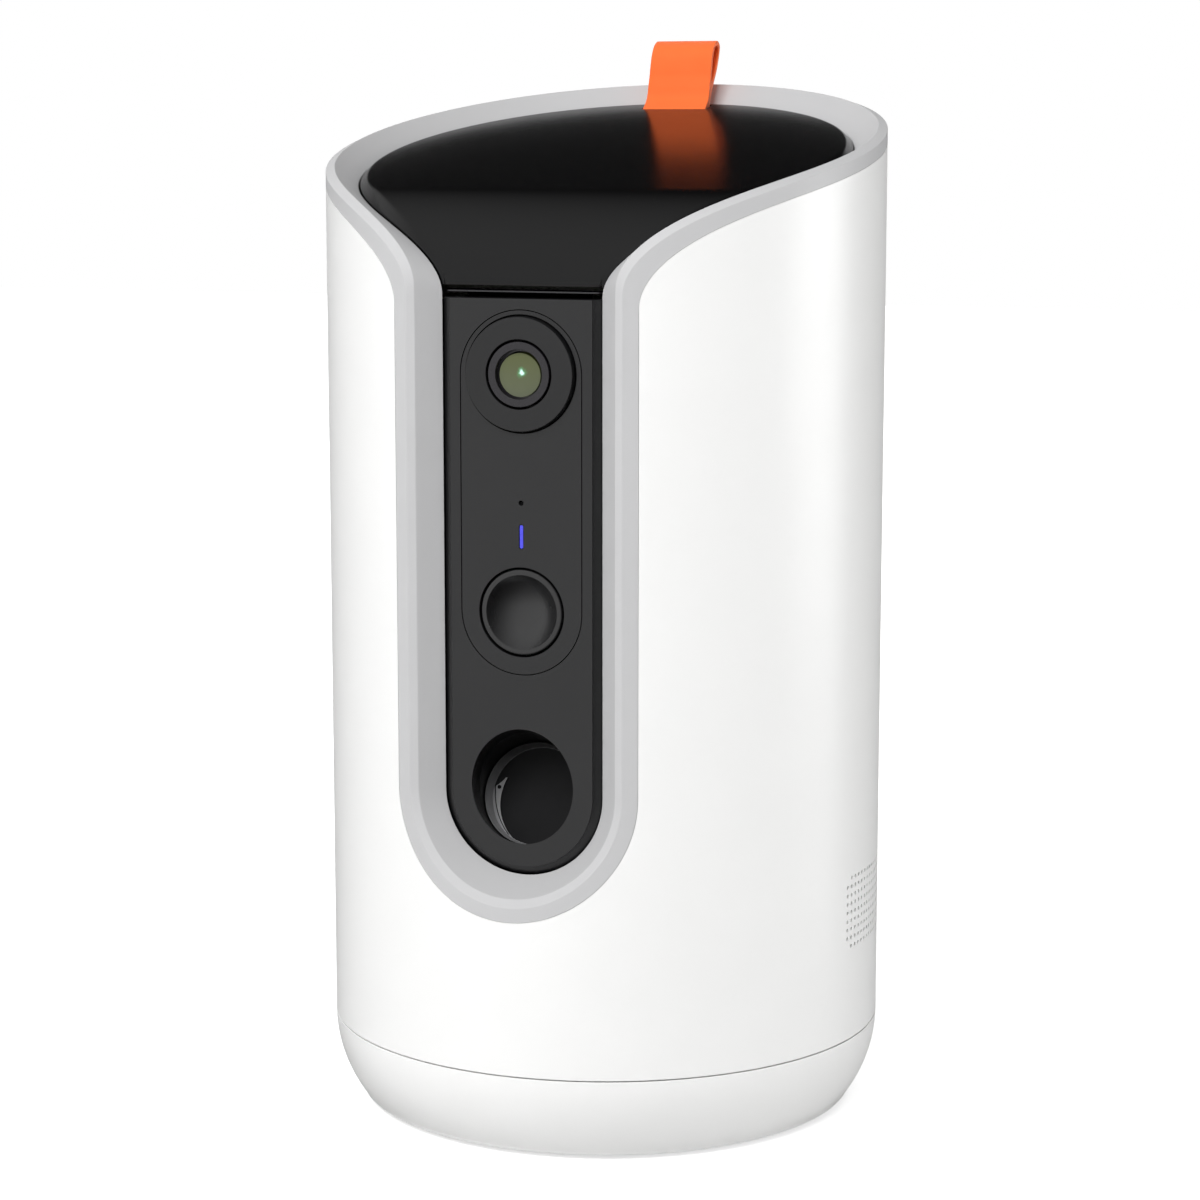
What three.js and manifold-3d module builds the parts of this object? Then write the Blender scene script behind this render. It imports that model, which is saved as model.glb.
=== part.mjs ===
// Treat tossing pet camera: a white standing drum, 120 mm across, with a slanted open rim, a black
// lift-off lid with a soft pull tab, and a black front plate with camera, light, button and treat outlet.
// Inside: treat bin, paddle rotor, feed duct and a spring kicker in a tilted chute that throws the treat.
// Millimetres. +Z up, the front faces -Y, the origin is on the table under the middle of the drum.

import * as THREE from "three";
import { mergeVertices } from "three/addons/utils/BufferGeometryUtils.js";
import Module from "manifold-3d";

const wasm = await Module();
wasm.setup();

// Clearances and counts

const gap = 0.3; // between neighbouring pieces
const seam = 0.3; // between the shell and what it meets
const overrun = 5; // how far a cutting tool runs past what it cuts
const turnSteps = 48; // facets round the drum
const innerSteps = 32; // facets round the hidden round pieces
const discSteps = 24; // facets round camera, lens and button
const smallSteps = 16;
const tinySteps = 8;
const roundedSteps = 8; // segments of each arc in a drawn outline
const weldDistance = 1e-4;

// Drum and base

const bodyRadius = 60;
const shellWall = 2.4;
const footStandout = 1;
const cupHeight = 17.75;
const cupSweep = 28; // radius of the cup's side in section
const cupCorner = 0.7;
const cupFloor = 3.2;
const seamHeight = footStandout + cupHeight;
const rimHeight = 204.95; // of the shell's slanted rim, on the axis
const rimSlope = 0.218;
const shellTop = rimHeight + rimSlope * bodyRadius + overrun; // before the rim is cut
const shellInside = bodyRadius - shellWall;
const lapHeight = 3;
const lapWall = 2.4;

// Rim: every rim line is a slanted circle that dips down a neck into an arched slot at the front.
// height is on the axis, slope is rise per length towards the back, drop is the depth of the neck.

const outletHeight = 77.75; // of the outlet's centre on the plate's face
const archFall = 0.3;
const archHeight = outletHeight - archFall;
const neckDrop = 17.1;
const slotHalf = 26.2;
const bandRise = 3; // the band's height on the drum and its width beside the slot
const crestInset = 2;
const crestSlotInset = 0.5;
const crestRise = 3.9;
const crestWall = 4.9;
const throatInset = 7;
const throatFlatInset = 9.9;
const throatFall = 0.9;
const throatWall = 8.9;
const throatNeckDrop = 15;
const throatArchFall = 1.1;
const plateArchHeight = archHeight - throatArchFall;
const shellLine = { radius: bodyRadius, half: slotHalf, height: rimHeight, drop: neckDrop, arch: archHeight };
const bandLine = { ...shellLine, half: slotHalf - bandRise, height: rimHeight + bandRise };
const crestLine = {
  ...shellLine,
  radius: bodyRadius - crestInset,
  slotRadius: bodyRadius - crestSlotInset,
  half: slotHalf - crestWall,
  height: rimHeight + crestRise,
};
const throatLine = {
  radius: bodyRadius - throatInset,
  flat: bodyRadius - throatFlatInset,
  half: slotHalf - throatWall,
  height: rimHeight - throatFall,
  drop: throatNeckDrop,
  arch: plateArchHeight,
};
const throatDepth = 5.2; // straight wall under the slope at the back
const slotThroatDepth = 3; // the same at the front slot
const trimLap = 4; // how far the trim reaches under the shell
const trimFoot = 6.1;
const trimReach = 5; // how far the trim reaches in under the shell
const trimInside = bodyRadius - trimReach;
const rearSteps = 12;
const neckSteps = 13;
const neckEase = 1.8; // closer stations where the neck leaves the slanted rim
const rimCutReach = 1;
const archSteps = 9;

// Front plate and what it holds

const faceInset = 9;
const faceDepth = bodyRadius - faceInset; // distance of the plate's face from the axis
const plateChamfer = 1.6;
const plateHalf = throatLine.half - gap;
const plateThickness = 4;
const plateBack = faceDepth - plateThickness;
const plateTopFall = 27.3;
const plateTop = rimHeight - plateTopFall;
const plateEdge = 0.6;
const flangeWidth = 3.5;
const panelMargin = 3.9;
const panelHalf = plateHalf - panelMargin;
const panelTopMargin = 15.4;
const panelRise = 36.4;
const panelHighCentre = plateTop - panelTopMargin;
const panelLowCentre = outletHeight + panelRise;
const panelThickness = 2.5;
const panelSlit = 0.3;
const discRise = 0.2;
const discCentre = panelHighCentre + discRise;
const discRadius = 11.6;
const discProud = 1.2;
const discThickness = 5.5;
const lensRingRadius = 7;
const lensRingWall = 0.9;
const barrelMouth = 6.1;
const glassRadius = 4.5;
const glassCrown = 1.1;
const glassDepth = 2.4;
const glassShares = [
  // radius of the glass against how far its crown has fallen there
  [1, 1],
  [0.8, 0.36],
  [0.45, 0.1],
  [0, 0],
];
const cameraHalf = 8;
const cameraDepth = 6;
const cameraBoardEdge = 3;
const microphoneRise = 22.2;
const microphoneHeight = panelLowCentre + microphoneRise;
const microphoneHole = 0.5;
const microphoneRadius = 2;
const lightRise = 15.3;
const lightCentre = panelLowCentre + lightRise;
const lightLength = 5.4;
const lightWidth = 0.8;
const buttonFall = 0.2;
const buttonCentre = panelLowCentre - buttonFall;
const buttonRadius = 8.9;
const buttonDish = 7.7;
const dishDepth = 1.3;
const dishShares = { radius: 0.65, depth: 0.9 };
const buttonThickness = 3;
const buttonStem = 3;
const buttonTravel = 0.8;
const boardInset = 5;
const boardFront = plateBack - boardInset;
const boardThickness = 1.6;
const boardEdge = 0.5;
const boardHalf = plateHalf - boardEdge;
const boardLowFall = 16.15;
const boardHighFall = 12.25;
const boardLow = panelLowCentre - boardLowFall;
const boardHigh = panelHighCentre - boardHighFall;
const bossRadius = 1.5;
const bossSink = 1;

// Launcher, in the tilted frame of the outlet: s runs inwards and down along the bore, n is square to it

const outletTilt = THREE.MathUtils.degToRad(22);
const boreRadius = 11.1;
const chuteWall = 1.4;
const chuteInset = 10;
const chuteLength = bodyRadius - chuteInset;
const bulkhead = 2.4;
const kickerStart = 8.5;
const kickerThickness = 3;
const kickerRim = 1.6;
const kickerTravel = 23;
const kickerClearance = 0.5;
const stemWidth = 5;
const stemTop = 2.5;
const gearModule = 1;
const gearTeeth = 24;
const gearWidth = 4.8;
const rackPitchLine = 4;
const gearBehind = 6;
const gearPlace = bodyRadius + gearBehind;
const rackAhead = 27;
const rackStart = gearPlace - rackAhead;
const rackBehind = 7;
const stemEnd = gearPlace + rackBehind;
const backlash = 0.35;
const pressure = THREE.MathUtils.degToRad(20);
const axleRadius = 2;
const axleReach = 12;
const axleStub = 3;
const springRadius = 7;
const wireRadius = 0.6;
const springCoils = 5;
const feedInset = 13.5;
const feedLength = 14.5;
const feedFront = faceDepth - feedInset;
const feedBack = feedFront - feedLength;
const feedHalf = 8.5;
const ductWall = 1.2;

// Treat bin and rotor

const rotorOffset = 2; // the rotor's axis lies this far behind the drum's
const binInset = 14; // room for the boards between plate and bin
const hopperFront = plateBack - binInset;
const trayStandout = 2.5;
const trayInside = hopperFront + trayStandout;
const trayWall = 1.8;
const trayRise = 23.25;
const trayBottom = outletHeight + trayRise;
const trayFloor = 2;
const trayDepth = 16;
const trayTop = trayBottom + trayDepth;
const vaneCount = 6;
const vaneClearance = 0.7;
const vaneRadius = trayInside - vaneClearance;
const vaneThickness = 2.4;
const hubRadius = 8;
const hubRise = 7;
const hubTop = trayTop + hubRise;
const hubShares = { shoulder: 0.75, crown: 0.3 };
const shaftSink = 1;
const shaftRadius = 2.5;
const shaftReach = 6;
const rotorMotorRadius = 12;
const rotorMotorHeight = 22.7;
const dropInset = 4;
const dropLength = 17;
const dropFront = trayInside - dropInset;
const dropBack = dropFront - dropLength;
const hopperInset = 2.5;
const hopperRadius = throatLine.radius - hopperInset;
const hopperWall = 1.8;
const funnelDepth = 13;
const funnelTop = trayTop + funnelDepth;
const hopperRimFall = 6.4;
const hopperRim = rimHeight - hopperRimFall;
const hopperFlange = trimInside - gap / 3;
const flangeFront = 4;
const flangeThickness = 2.3;
const shelfThickness = 1.6;
const shelfSpread = THREE.MathUtils.degToRad(42);

// Lid

const lidRise = 0.9;
const lidPlane = rimHeight + lidRise;
const lidRollDepth = 20.4;
const lidRollStart = faceDepth - lidRollDepth;
const lidRollHeight = 19.5;
const lidBottomRise = 2.2;
const lidBottom = plateTop + lidBottomRise;
const lidThickness = 3.4;
const lidFrontShare = 0.8; // the lid is thinner where it rolls over
const lidRollSteps = 12;
const lidBand = 1.5;
const lidBandRise = 0.25;
const lidStandout = 0.35;
const lidFront = throatLine.flat + lidStandout;
const lidRingShares = [0.9, 0.78, 0.6, 0.3];
const linerRadius = hopperRadius - hopperWall - gap - seam / 2 - gap / 6;
const linerDepth = 6.5;
const sealRadius = hopperRadius - 2 * gap / 3;
const lipHalf = plateHalf - gap - seam / 3;
const lipRise = 0.95;
const lipBottom = plateTop + lipRise;
const lipHeight = 0.5;
const lipLegLength = 6.6;
const lipFoot = lipBottom - lipLegLength;
const tabWidth = 15;
const tabInset = 7.7;
const tabPlace = throatLine.radius - tabInset;
const tabFoot = 2.1;
const tabStrap = 1;
const tabDepth = 11.7;
const tabHeight = 15.45;

// Mechanism bed, drives and boards

const bedBottom = 21;
const bedThickness = 2.5;
const bedInset = 3.3;
const bedRadius = shellInside - bedInset;
const postRadius = 3;
const postShares = [
  // of the rotor tray's radius
  [0.563, -0.789],
  [0.958, 0.338],
];
const axlePostHalf = 4;
const axlePostGap = 2;
const axleOverhang = 1;
const motorSeatInset = 2;
const saddleInset = 10;
const firstSaddle = 14;
const saddlePlaces = [firstSaddle, chuteLength - saddleInset]; // along the chute
const saddleHalf = 9;
const saddleDepth = 4;
const saddleDrop = 6;
const boardPostRadius = 2;
const boardPostInset = 4;
const boardPostBack = 6;
const screwCircle = bodyRadius / 2;
const screwCount = 4;
const screwRadius = 1.5;
const screwHead = 3.2;
const screwHeadHeight = 1.6;
const bossOuter = 4.4;
const ballastGap = 1.6;
const ballastRadius = screwCircle - bossOuter - ballastGap;
const ballastHeight = 12;
const footWidth = 8;
const footInner = screwCircle + footWidth;
const footOuter = footInner + footWidth;
const footGroove = 1.2;
const cupSteps = 5;
const cupInnerSteps = 1;
const gearboxLength = 24;
const gearboxHalf = 9;
const motorCanRadius = 7.5;
const motorCanLength = 24;
const motorSink = 1;
const motorCap = 1.5;
const speakerHeight = 46.7;
const speakerRadius = 13;
const speakerDepth = 11;
const speakerInset = 3.6;
const speakerFace = shellInside - speakerInset;
const gasketWall = 2;
const speakerWall = 2.5;
const speakerWallRise = 8;
const coneDepth = 3;
const speakerShares = { magnet: 0.6, magnetDepth: 0.45, coneBack: 0.35, coneFront: 0.85 };
const holeRows = 9;
const holeColumns = 16;
const holePitch = 1.86;
const firstColumn = THREE.MathUtils.degToRad(78.4);
const speakerTurn = firstColumn + (holePitch / bodyRadius) * ((holeColumns - 1) / 2);
const holeSize = 0.9;
const holeSides = 3;
const socketHeight = 31;
const socketHalf = 4.6;
const socketTall = 3.4;
const socketInset = 1.7;
const socketMouth = bodyRadius - socketInset;
const socketDepth = 8.5;
const socketWall = 0.5;
const socketFloor = 1.5;
const tongueInset = 1;
const tongueTall = 0.35;
const resetPlace = 14;
const resetRadius = 1.6;
const resetTravel = 0.5;
const resetLength = 7;
const resetFlangeWidth = 1;
const resetSwitchHalf = 2.2;
const resetSwitchPlace = 10;
const powerBoardHalf = 18;
const powerBoardInset = 7.5;
const powerBoardDepth = 18.5;
const powerBoardBack = bodyRadius - powerBoardInset;
const powerBoardFront = powerBoardBack - powerBoardDepth;

// Materials

function plastic(color, roughness, metalness = 0) {
  return new THREE.MeshStandardMaterial({ color, roughness, metalness });
}
const whiteShell = plastic("#f4f4f4", 0.35);
const greyTrim = plastic("#c9c9c9", 0.5);
const blackFace = plastic("#3a3a3c", 0.45);
const blackGloss = plastic("#101011", 0.2);
const darkPlastic = plastic("#242427", 0.5);
const innerPlastic = plastic("#d8d8d4", 0.6);
const rubberGrey = plastic("#55565a", 0.8);
const orangeTab = plastic("#ff7433", 0.55);
const steel = plastic("#9a9ca0", 0.35, 0.9);
const greenBoard = plastic("#1f5a3a", 0.6);
const lensCoat = plastic("#6f7a3c", 0.08);
const blueLight = plastic("#5a5ad6", 0.4);

// Solids: every one is closed, and turned right side out whichever way its profile runs

function signedVolume(positions, index) {
  const corner = (i) => new THREE.Vector3().fromBufferAttribute(positions, index[i]);
  let sum = 0;
  for (let i = 0; i < index.length; i += 3) {
    sum += corner(i).dot(new THREE.Vector3().crossVectors(corner(i + 1), corner(i + 2)));
  }
  return sum;
}

function solid(geometry) {
  const bare = geometry.clone();
  bare.deleteAttribute("normal");
  bare.deleteAttribute("uv");
  const merged = mergeVertices(bare, weldDistance);
  const index = Array.from(merged.index.array);
  const ordered = signedVolume(merged.attributes.position, index) > 0 ? index : index.reverse();
  const mesh = new wasm.Mesh({
    numProp: 3,
    vertProperties: new Float32Array(merged.attributes.position.array),
    triVerts: new Uint32Array(ordered),
  });
  mesh.merge();
  return new wasm.Manifold(mesh);
}

function geometryOf(body) {
  const mesh = body.getMesh();
  const geometry = new THREE.BufferGeometry();
  geometry.setAttribute("position", new THREE.BufferAttribute(new Float32Array(mesh.vertProperties), 3));
  geometry.setIndex(new THREE.BufferAttribute(new Uint32Array(mesh.triVerts), 1));
  geometry.computeVertexNormals();
  return geometry;
}

function cut(body, ...tools) {
  return tools.reduce((rest, tool) => rest.subtract(tool), body);
}

function join(body, ...others) {
  return others.reduce((sum, other) => sum.add(other), body);
}

// Extrusions: a shape drawn in the plane square to the axis, between two places on that axis

function alongZ(shape, from, to) {
  const geometry = new THREE.ExtrudeGeometry(shape, { depth: to - from, bevelEnabled: false, curveSegments: roundedSteps });
  return solid(geometry.translate(0, 0, from));
}

function alongY(shape, from, to) {
  const geometry = new THREE.ExtrudeGeometry(shape, { depth: to - from, bevelEnabled: false, curveSegments: roundedSteps });
  return solid(geometry.rotateX(Math.PI / 2).translate(0, to, 0));
}

function alongX(shape, from, to) {
  const geometry = new THREE.ExtrudeGeometry(shape, { depth: to - from, bevelEnabled: false, curveSegments: roundedSteps });
  const turn = new THREE.Matrix4().makeBasis(
    new THREE.Vector3(0, 1, 0),
    new THREE.Vector3(0, 0, 1),
    new THREE.Vector3(1, 0, 0),
  );
  return solid(geometry.applyMatrix4(turn).translate(from, 0, 0));
}

function box(x0, x1, y0, y1, z0, z1) {
  const geometry = new THREE.BoxGeometry(x1 - x0, y1 - y0, z1 - z0);
  return solid(geometry.translate((x0 + x1) / 2, (y0 + y1) / 2, (z0 + z1) / 2));
}

function rodZ(radius, x, y, from, to, steps = smallSteps) {
  const geometry = new THREE.CylinderGeometry(radius, radius, to - from, steps);
  return solid(geometry.rotateX(Math.PI / 2).translate(x, y, (from + to) / 2));
}

function rodY(radius, x, z, from, to, steps = smallSteps) {
  const geometry = new THREE.CylinderGeometry(radius, radius, to - from, steps);
  return solid(geometry.translate(x, (from + to) / 2, z));
}

function rodX(radius, y, z, from, to, steps = smallSteps) {
  const geometry = new THREE.CylinderGeometry(radius, radius, to - from, steps);
  return solid(geometry.rotateZ(Math.PI / 2).translate((from + to) / 2, y, z));
}

function polygon(points) {
  return new THREE.Shape(points.map(([u, v]) => new THREE.Vector2(u, v)));
}

function revolve(points, steps) {
  const profile = points.map(([radius, height]) => new THREE.Vector2(radius, height));
  return solid(new THREE.LatheGeometry(profile, steps).rotateX(Math.PI / 2));
}

// A body from vertices and triangles

function meshBody(vertices, triangles) {
  const geometry = new THREE.BufferGeometry();
  geometry.setAttribute("position", new THREE.Float32BufferAttribute(vertices.flatMap((v) => v.toArray()), 3));
  geometry.setIndex(triangles.flat());
  return solid(geometry);
}

// A closed ring swept through sections that all have the same number of points

function ringLoft(sections) {
  const count = sections[0].length;
  const triangles = [];
  sections.forEach((section, i) => {
    const next = (i + 1) % sections.length;
    for (let j = 0; j < count; j += 1) {
      const k = (j + 1) % count;
      triangles.push([i * count + j, next * count + j, next * count + k]);
      triangles.push([i * count + j, next * count + k, i * count + k]);
    }
  });
  return meshBody(sections.flat(), triangles);
}

// A stack of outlines with flat or fanned ends

function stackLoft(outlines) {
  const count = outlines[0].length;
  const vertices = outlines.flat();
  const middle = (outline) => {
    const sum = outline.reduce((total, point) => total.add(point), new THREE.Vector3());
    return sum.divideScalar(outline.length);
  };
  vertices.push(middle(outlines[0]), middle(outlines[outlines.length - 1]));
  const first = outlines.length * count;
  const triangles = [];
  for (let j = 0; j < count; j += 1) {
    const k = (j + 1) % count;
    for (let i = 0; i + 1 < outlines.length; i += 1) {
      triangles.push([i * count + j, i * count + k, (i + 1) * count + k]);
      triangles.push([i * count + j, (i + 1) * count + k, (i + 1) * count + j]);
    }
    triangles.push([first, k, j]);
    triangles.push([first + 1, (outlines.length - 1) * count + j, (outlines.length - 1) * count + k]);
  }
  return meshBody(vertices, triangles);
}

// The rim lines: stations run once round, from the back over +X, down the slot and back over -X

function rimStations() {
  const side = [];
  for (let i = 0; i <= rearSteps; i += 1) {
    side.push({ part: "rear", angle: Math.PI - (i / rearSteps) * (Math.PI / 2) });
  }
  for (let i = 1; i <= neckSteps; i += 1) {
    side.push({ part: "neck", angle: Math.pow(i / neckSteps, neckEase) * (Math.PI / 2) });
  }
  for (let i = 0; i <= archSteps; i += 1) {
    side.push({ part: "arch", angle: (i / archSteps) * (Math.PI / 2) });
  }
  const right = side.map((station) => ({ ...station, sign: 1 }));
  const left = side.slice(1, -1).reverse().map((station) => ({ ...station, sign: -1 }));
  return [...right, ...left];
}

function slant(line, y) {
  return line.height + rimSlope * y;
}

function rimPoint(line, station) {
  if (station.part === "rear") {
    const y = -line.radius * Math.cos(station.angle);
    return new THREE.Vector3(station.sign * line.radius * Math.sin(station.angle), y, slant(line, y));
  }
  if (station.part === "neck") {
    const x = line.radius - (line.radius - line.half) * Math.sin(station.angle);
    const radius = THREE.MathUtils.lerp(line.radius, line.slotRadius ?? line.radius, Math.sin(station.angle));
    const y = -Math.sqrt(radius * radius - x * x);
    const fall = line.drop * (1 - Math.cos(station.angle));
    return new THREE.Vector3(station.sign * x, y, slant(line, y) - fall);
  }
  const x = line.half * Math.cos(station.angle);
  const radius = line.slotRadius ?? line.radius;
  const y = line.flat ? -line.flat : -Math.sqrt(radius * radius - x * x);
  return new THREE.Vector3(station.sign * x, y, line.arch - line.half * Math.sin(station.angle));
}

function rimPath(line, stations) {
  return stations.map((station) => rimPoint(line, station));
}

// At every station, the direction on the drum's surface that points square to the line, into the mouth

function inwardOf(path) {
  return path.map((point, i) => {
    const next = path[(i + 1) % path.length];
    const last = path[(i + path.length - 1) % path.length];
    const tangent = new THREE.Vector3().subVectors(next, last).normalize();
    const outward = new THREE.Vector3(point.x, point.y, 0).normalize();
    return new THREE.Vector3().crossVectors(tangent, outward).normalize();
  });
}

function atRadius(point, radius) {
  const scale = radius / Math.hypot(point.x, point.y);
  return new THREE.Vector3(point.x * scale, point.y * scale, point.z);
}

const stations = rimStations();
const shellPath = rimPath(shellLine, stations);
const shellInward = inwardOf(shellPath);
const throatPath = rimPath(throatLine, stations);
const throatInward = inwardOf(throatPath);

// Cutter for everything above the neck and the slanted rim, seen as a function of the angle round the drum

function aboveRim(line, shift) {
  const ends = stations.filter((station) => station.part !== "arch");
  const outer = bodyRadius + rimCutReach;
  const inner = shellInside - rimCutReach;
  const sections = ends.map((station) => {
    const point = rimPoint(line, station);
    const low = point.clone().setZ(point.z - shift);
    const high = point.clone().setZ(shellTop + overrun);
    return [atRadius(low, inner), atRadius(low, outer), atRadius(high, outer), atRadius(high, inner)];
  });
  return ringLoft(sections);
}

// Cutter for the arched slot at the front

function slotTool(half, arch, front, back, top) {
  const shape = new THREE.Shape();
  shape.moveTo(half, top);
  shape.lineTo(-half, top);
  shape.lineTo(-half, arch);
  shape.absarc(0, arch, half, Math.PI, 2 * Math.PI, false);
  shape.closePath();
  const geometry = new THREE.ExtrudeGeometry(shape, {
    depth: front - back,
    bevelEnabled: false,
    curveSegments: 2 * archSteps,
  });
  return solid(geometry.rotateX(Math.PI / 2).translate(0, -back, 0));
}

const root = new THREE.Group();

function add(name, body, material, parent = root) {
  const mesh = new THREE.Mesh(geometryOf(body), material);
  mesh.name = name;
  parent.add(mesh);
  return mesh;
}

// Outer shell: a white drum, open at the top, with the arched slot, the speaker holes and the power opening

function speakerHoles() {
  const tools = [];
  const step = holePitch / bodyRadius;
  for (let row = 0; row < holeRows; row += 1) {
    for (let column = 0; column < holeColumns; column += 1) {
      const corner = (row === 0 || row === holeRows - 1) && (column === 0 || column === holeColumns - 1);
      if (!corner) {
        const angle = speakerTurn + (column - (holeColumns - 1) / 2) * step;
        const height = speakerHeight + (row - (holeRows - 1) / 2) * holePitch;
        const hole = new THREE.CylinderGeometry(holeSize / 2, holeSize / 2, 2 * overrun, holeSides);
        hole.translate(0, -shellInside, height).rotateZ(angle);
        tools.push(solid(hole));
      }
    }
  }
  return wasm.Manifold.compose(tools);
}

function outerShell() {
  const tube = revolve(
    [
      [shellInside, seamHeight + seam / 2],
      [bodyRadius, seamHeight + seam / 2],
      [bodyRadius, shellTop],
      [shellInside, shellTop],
      [shellInside, seamHeight + seam / 2],
    ],
    turnSteps,
  );
  const slot = slotTool(shellLine.half + seam / 2, shellLine.arch, bodyRadius + overrun, overrun, shellTop + overrun);
  const powerShape = new THREE.Shape();
  const half = socketHalf + gap;
  const tall = socketTall / 2 + gap;
  powerShape.moveTo(-half, socketHeight - tall);
  powerShape.lineTo(half, socketHeight - tall);
  powerShape.lineTo(half, socketHeight + tall);
  powerShape.lineTo(-half, socketHeight + tall);
  const power = alongY(powerShape, shellInside - overrun, bodyRadius + overrun);
  const reset = rodY(resetRadius + gap, resetPlace, socketHeight, shellInside - overrun, bodyRadius + overrun, tinySteps);
  return cut(tube, aboveRim(shellLine, seam / 2), slot, power, reset, speakerHoles());
}

// Trim ring: the grey rim that runs round the mouth and down the slot. Its section is an outer band,
// a crest, a slope down to the throat, a straight throat wall and a flange that laps under the shell.

function trimRing() {
  const bandPath = rimPath(bandLine, stations);
  const crestPath = rimPath(crestLine, stations);
  const sections = stations.map((station, i) => {
    const edge = shellPath[i].clone().addScaledVector(shellInward[i], seam / 2);
    const inSlot = station.part === "rear" ? 0 : station.part === "neck" ? Math.sin(station.angle) : 1;
    const depth = THREE.MathUtils.lerp(throatDepth, slotThroatDepth, inSlot);
    const throatFoot = throatPath[i].clone().addScaledVector(throatInward[i], -depth);
    const foot = shellPath[i].clone().addScaledVector(shellInward[i], -trimFoot);
    const lap = shellPath[i].clone().addScaledVector(shellInward[i], -trimLap);
    return [
      edge,
      bandPath[i],
      crestPath[i],
      throatPath[i],
      throatFoot,
      atRadius(foot, trimInside),
      atRadius(lap, shellInside - gap - seam / 3),
      atRadius(edge, shellInside - gap - seam / 3),
    ];
  });
  return ringLoft(sections);
}

add("outer_shell", outerShell(), whiteShell);
add("trim_ring", trimRing(), greyTrim);

// Base cup: the white bowl under the seam, with a lap rim, screw bosses and a groove for the foot

function cupOuter(height) {
  const fall = seamHeight - height;
  return bodyRadius - cupSweep + Math.sqrt(cupSweep * cupSweep - fall * fall);
}

function baseCup() {
  const floorTop = footStandout + cupFloor;
  const profile = [[0, footStandout]];
  profile.push([cupOuter(footStandout + cupCorner) - cupCorner, footStandout]);
  for (let i = 0; i <= cupSteps; i += 1) {
    const height = THREE.MathUtils.lerp(footStandout + cupCorner, seamHeight - seam / 2, i / cupSteps);
    profile.push([cupOuter(height), height]);
  }
  const lapOuter = shellInside - gap;
  profile.push([lapOuter, seamHeight - seam / 2]);
  profile.push([lapOuter, seamHeight + lapHeight]);
  profile.push([lapOuter - lapWall, seamHeight + lapHeight]);
  for (let i = cupInnerSteps; i >= 0; i -= 1) {
    const height = THREE.MathUtils.lerp(floorTop, seamHeight, i / cupInnerSteps);
    profile.push([cupOuter(height) - shellWall - gap - lapWall, height]);
  }
  profile.push([0, floorTop]);
  let cup = revolve(profile, turnSteps);
  const groove = revolve(
    [
      [footInner - gap, footStandout - overrun],
      [footOuter + gap, footStandout - overrun],
      [footOuter + gap, footStandout + footGroove],
      [footInner - gap, footStandout + footGroove],
      [footInner - gap, footStandout - overrun],
    ],
    innerSteps,
  );
  cup = cut(cup, groove);
  for (const [x, y] of screwPlaces()) {
    cup = join(cup, rodZ(bossOuter, x, y, floorTop - gap, bedBottom - gap, tinySteps));
    cup = cut(cup, rodZ(screwRadius + gap, x, y, footStandout - overrun, bedBottom + overrun, tinySteps));
    cup = cut(cup, rodZ(screwHead + gap, x, y, footStandout - overrun, screwSeat(), tinySteps));
  }
  return cup;
}

function screwPlaces() {
  return Array.from({ length: screwCount }, (_, i) => {
    const angle = ((i + 0.5) / screwCount) * 2 * Math.PI;
    return [screwCircle * Math.cos(angle), screwCircle * Math.sin(angle)];
  });
}

function screwSeat() {
  return footStandout + screwHeadHeight + 2 * gap;
}

add("base_cup", baseCup(), whiteShell);

const footRing = revolve(
  [
    [footInner, 0],
    [footOuter, 0],
    [footOuter, footStandout + footGroove - gap],
    [footInner, footStandout + footGroove - gap],
    [footInner, 0],
  ],
  innerSteps,
);
add("foot_ring", footRing, rubberGrey);

const ballastBottom = footStandout + cupFloor + gap;
add("ballast_disc", rodZ(ballastRadius, 0, 0, ballastBottom, ballastBottom + ballastHeight, discSteps), steel);

screwPlaces().forEach(([x, y], i) => {
  const seat = screwSeat() - gap;
  const head = rodZ(screwHead, x, y, seat - screwHeadHeight, seat, tinySteps);
  const shank = rodZ(screwRadius, x, y, seat - gap, bedBottom + bedThickness, tinySteps);
  const key = rodZ(screwRadius, x, y, seat - screwHeadHeight - overrun, seat - screwHeadHeight / 2, 6);
  add(`base_screw_${i + 1}`, cut(join(head, shank), key), steel);
});

// Front plate: black, flat faced, chamfered, seated in the slot against the back of the trim

function slotOutline(half, top, depth) {
  const points = [new THREE.Vector3(half, -depth, top), new THREE.Vector3(-half, -depth, top)];
  const steps = 2 * archSteps;
  for (let i = 0; i <= steps; i += 1) {
    const angle = Math.PI + (i / steps) * Math.PI;
    points.push(new THREE.Vector3(half * Math.cos(angle), -depth, plateArchHeight + half * Math.sin(angle)));
  }
  return points;
}

function capsule(half, low, high) {
  const shape = new THREE.Shape();
  shape.moveTo(half, low);
  shape.lineTo(half, high);
  shape.absarc(0, high, half, 0, Math.PI, false);
  shape.lineTo(-half, low);
  shape.absarc(0, low, half, Math.PI, 2 * Math.PI, false);
  return shape;
}

const launcher = new THREE.Group();
launcher.position.set(0, -faceDepth, outletHeight);
launcher.rotation.x = -outletTilt;
launcher.updateMatrixWorld(true);
root.add(launcher);

function tilted(body) {
  const geometry = geometryOf(body);
  geometry.applyMatrix4(launcher.matrixWorld);
  return solid(geometry);
}

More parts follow.
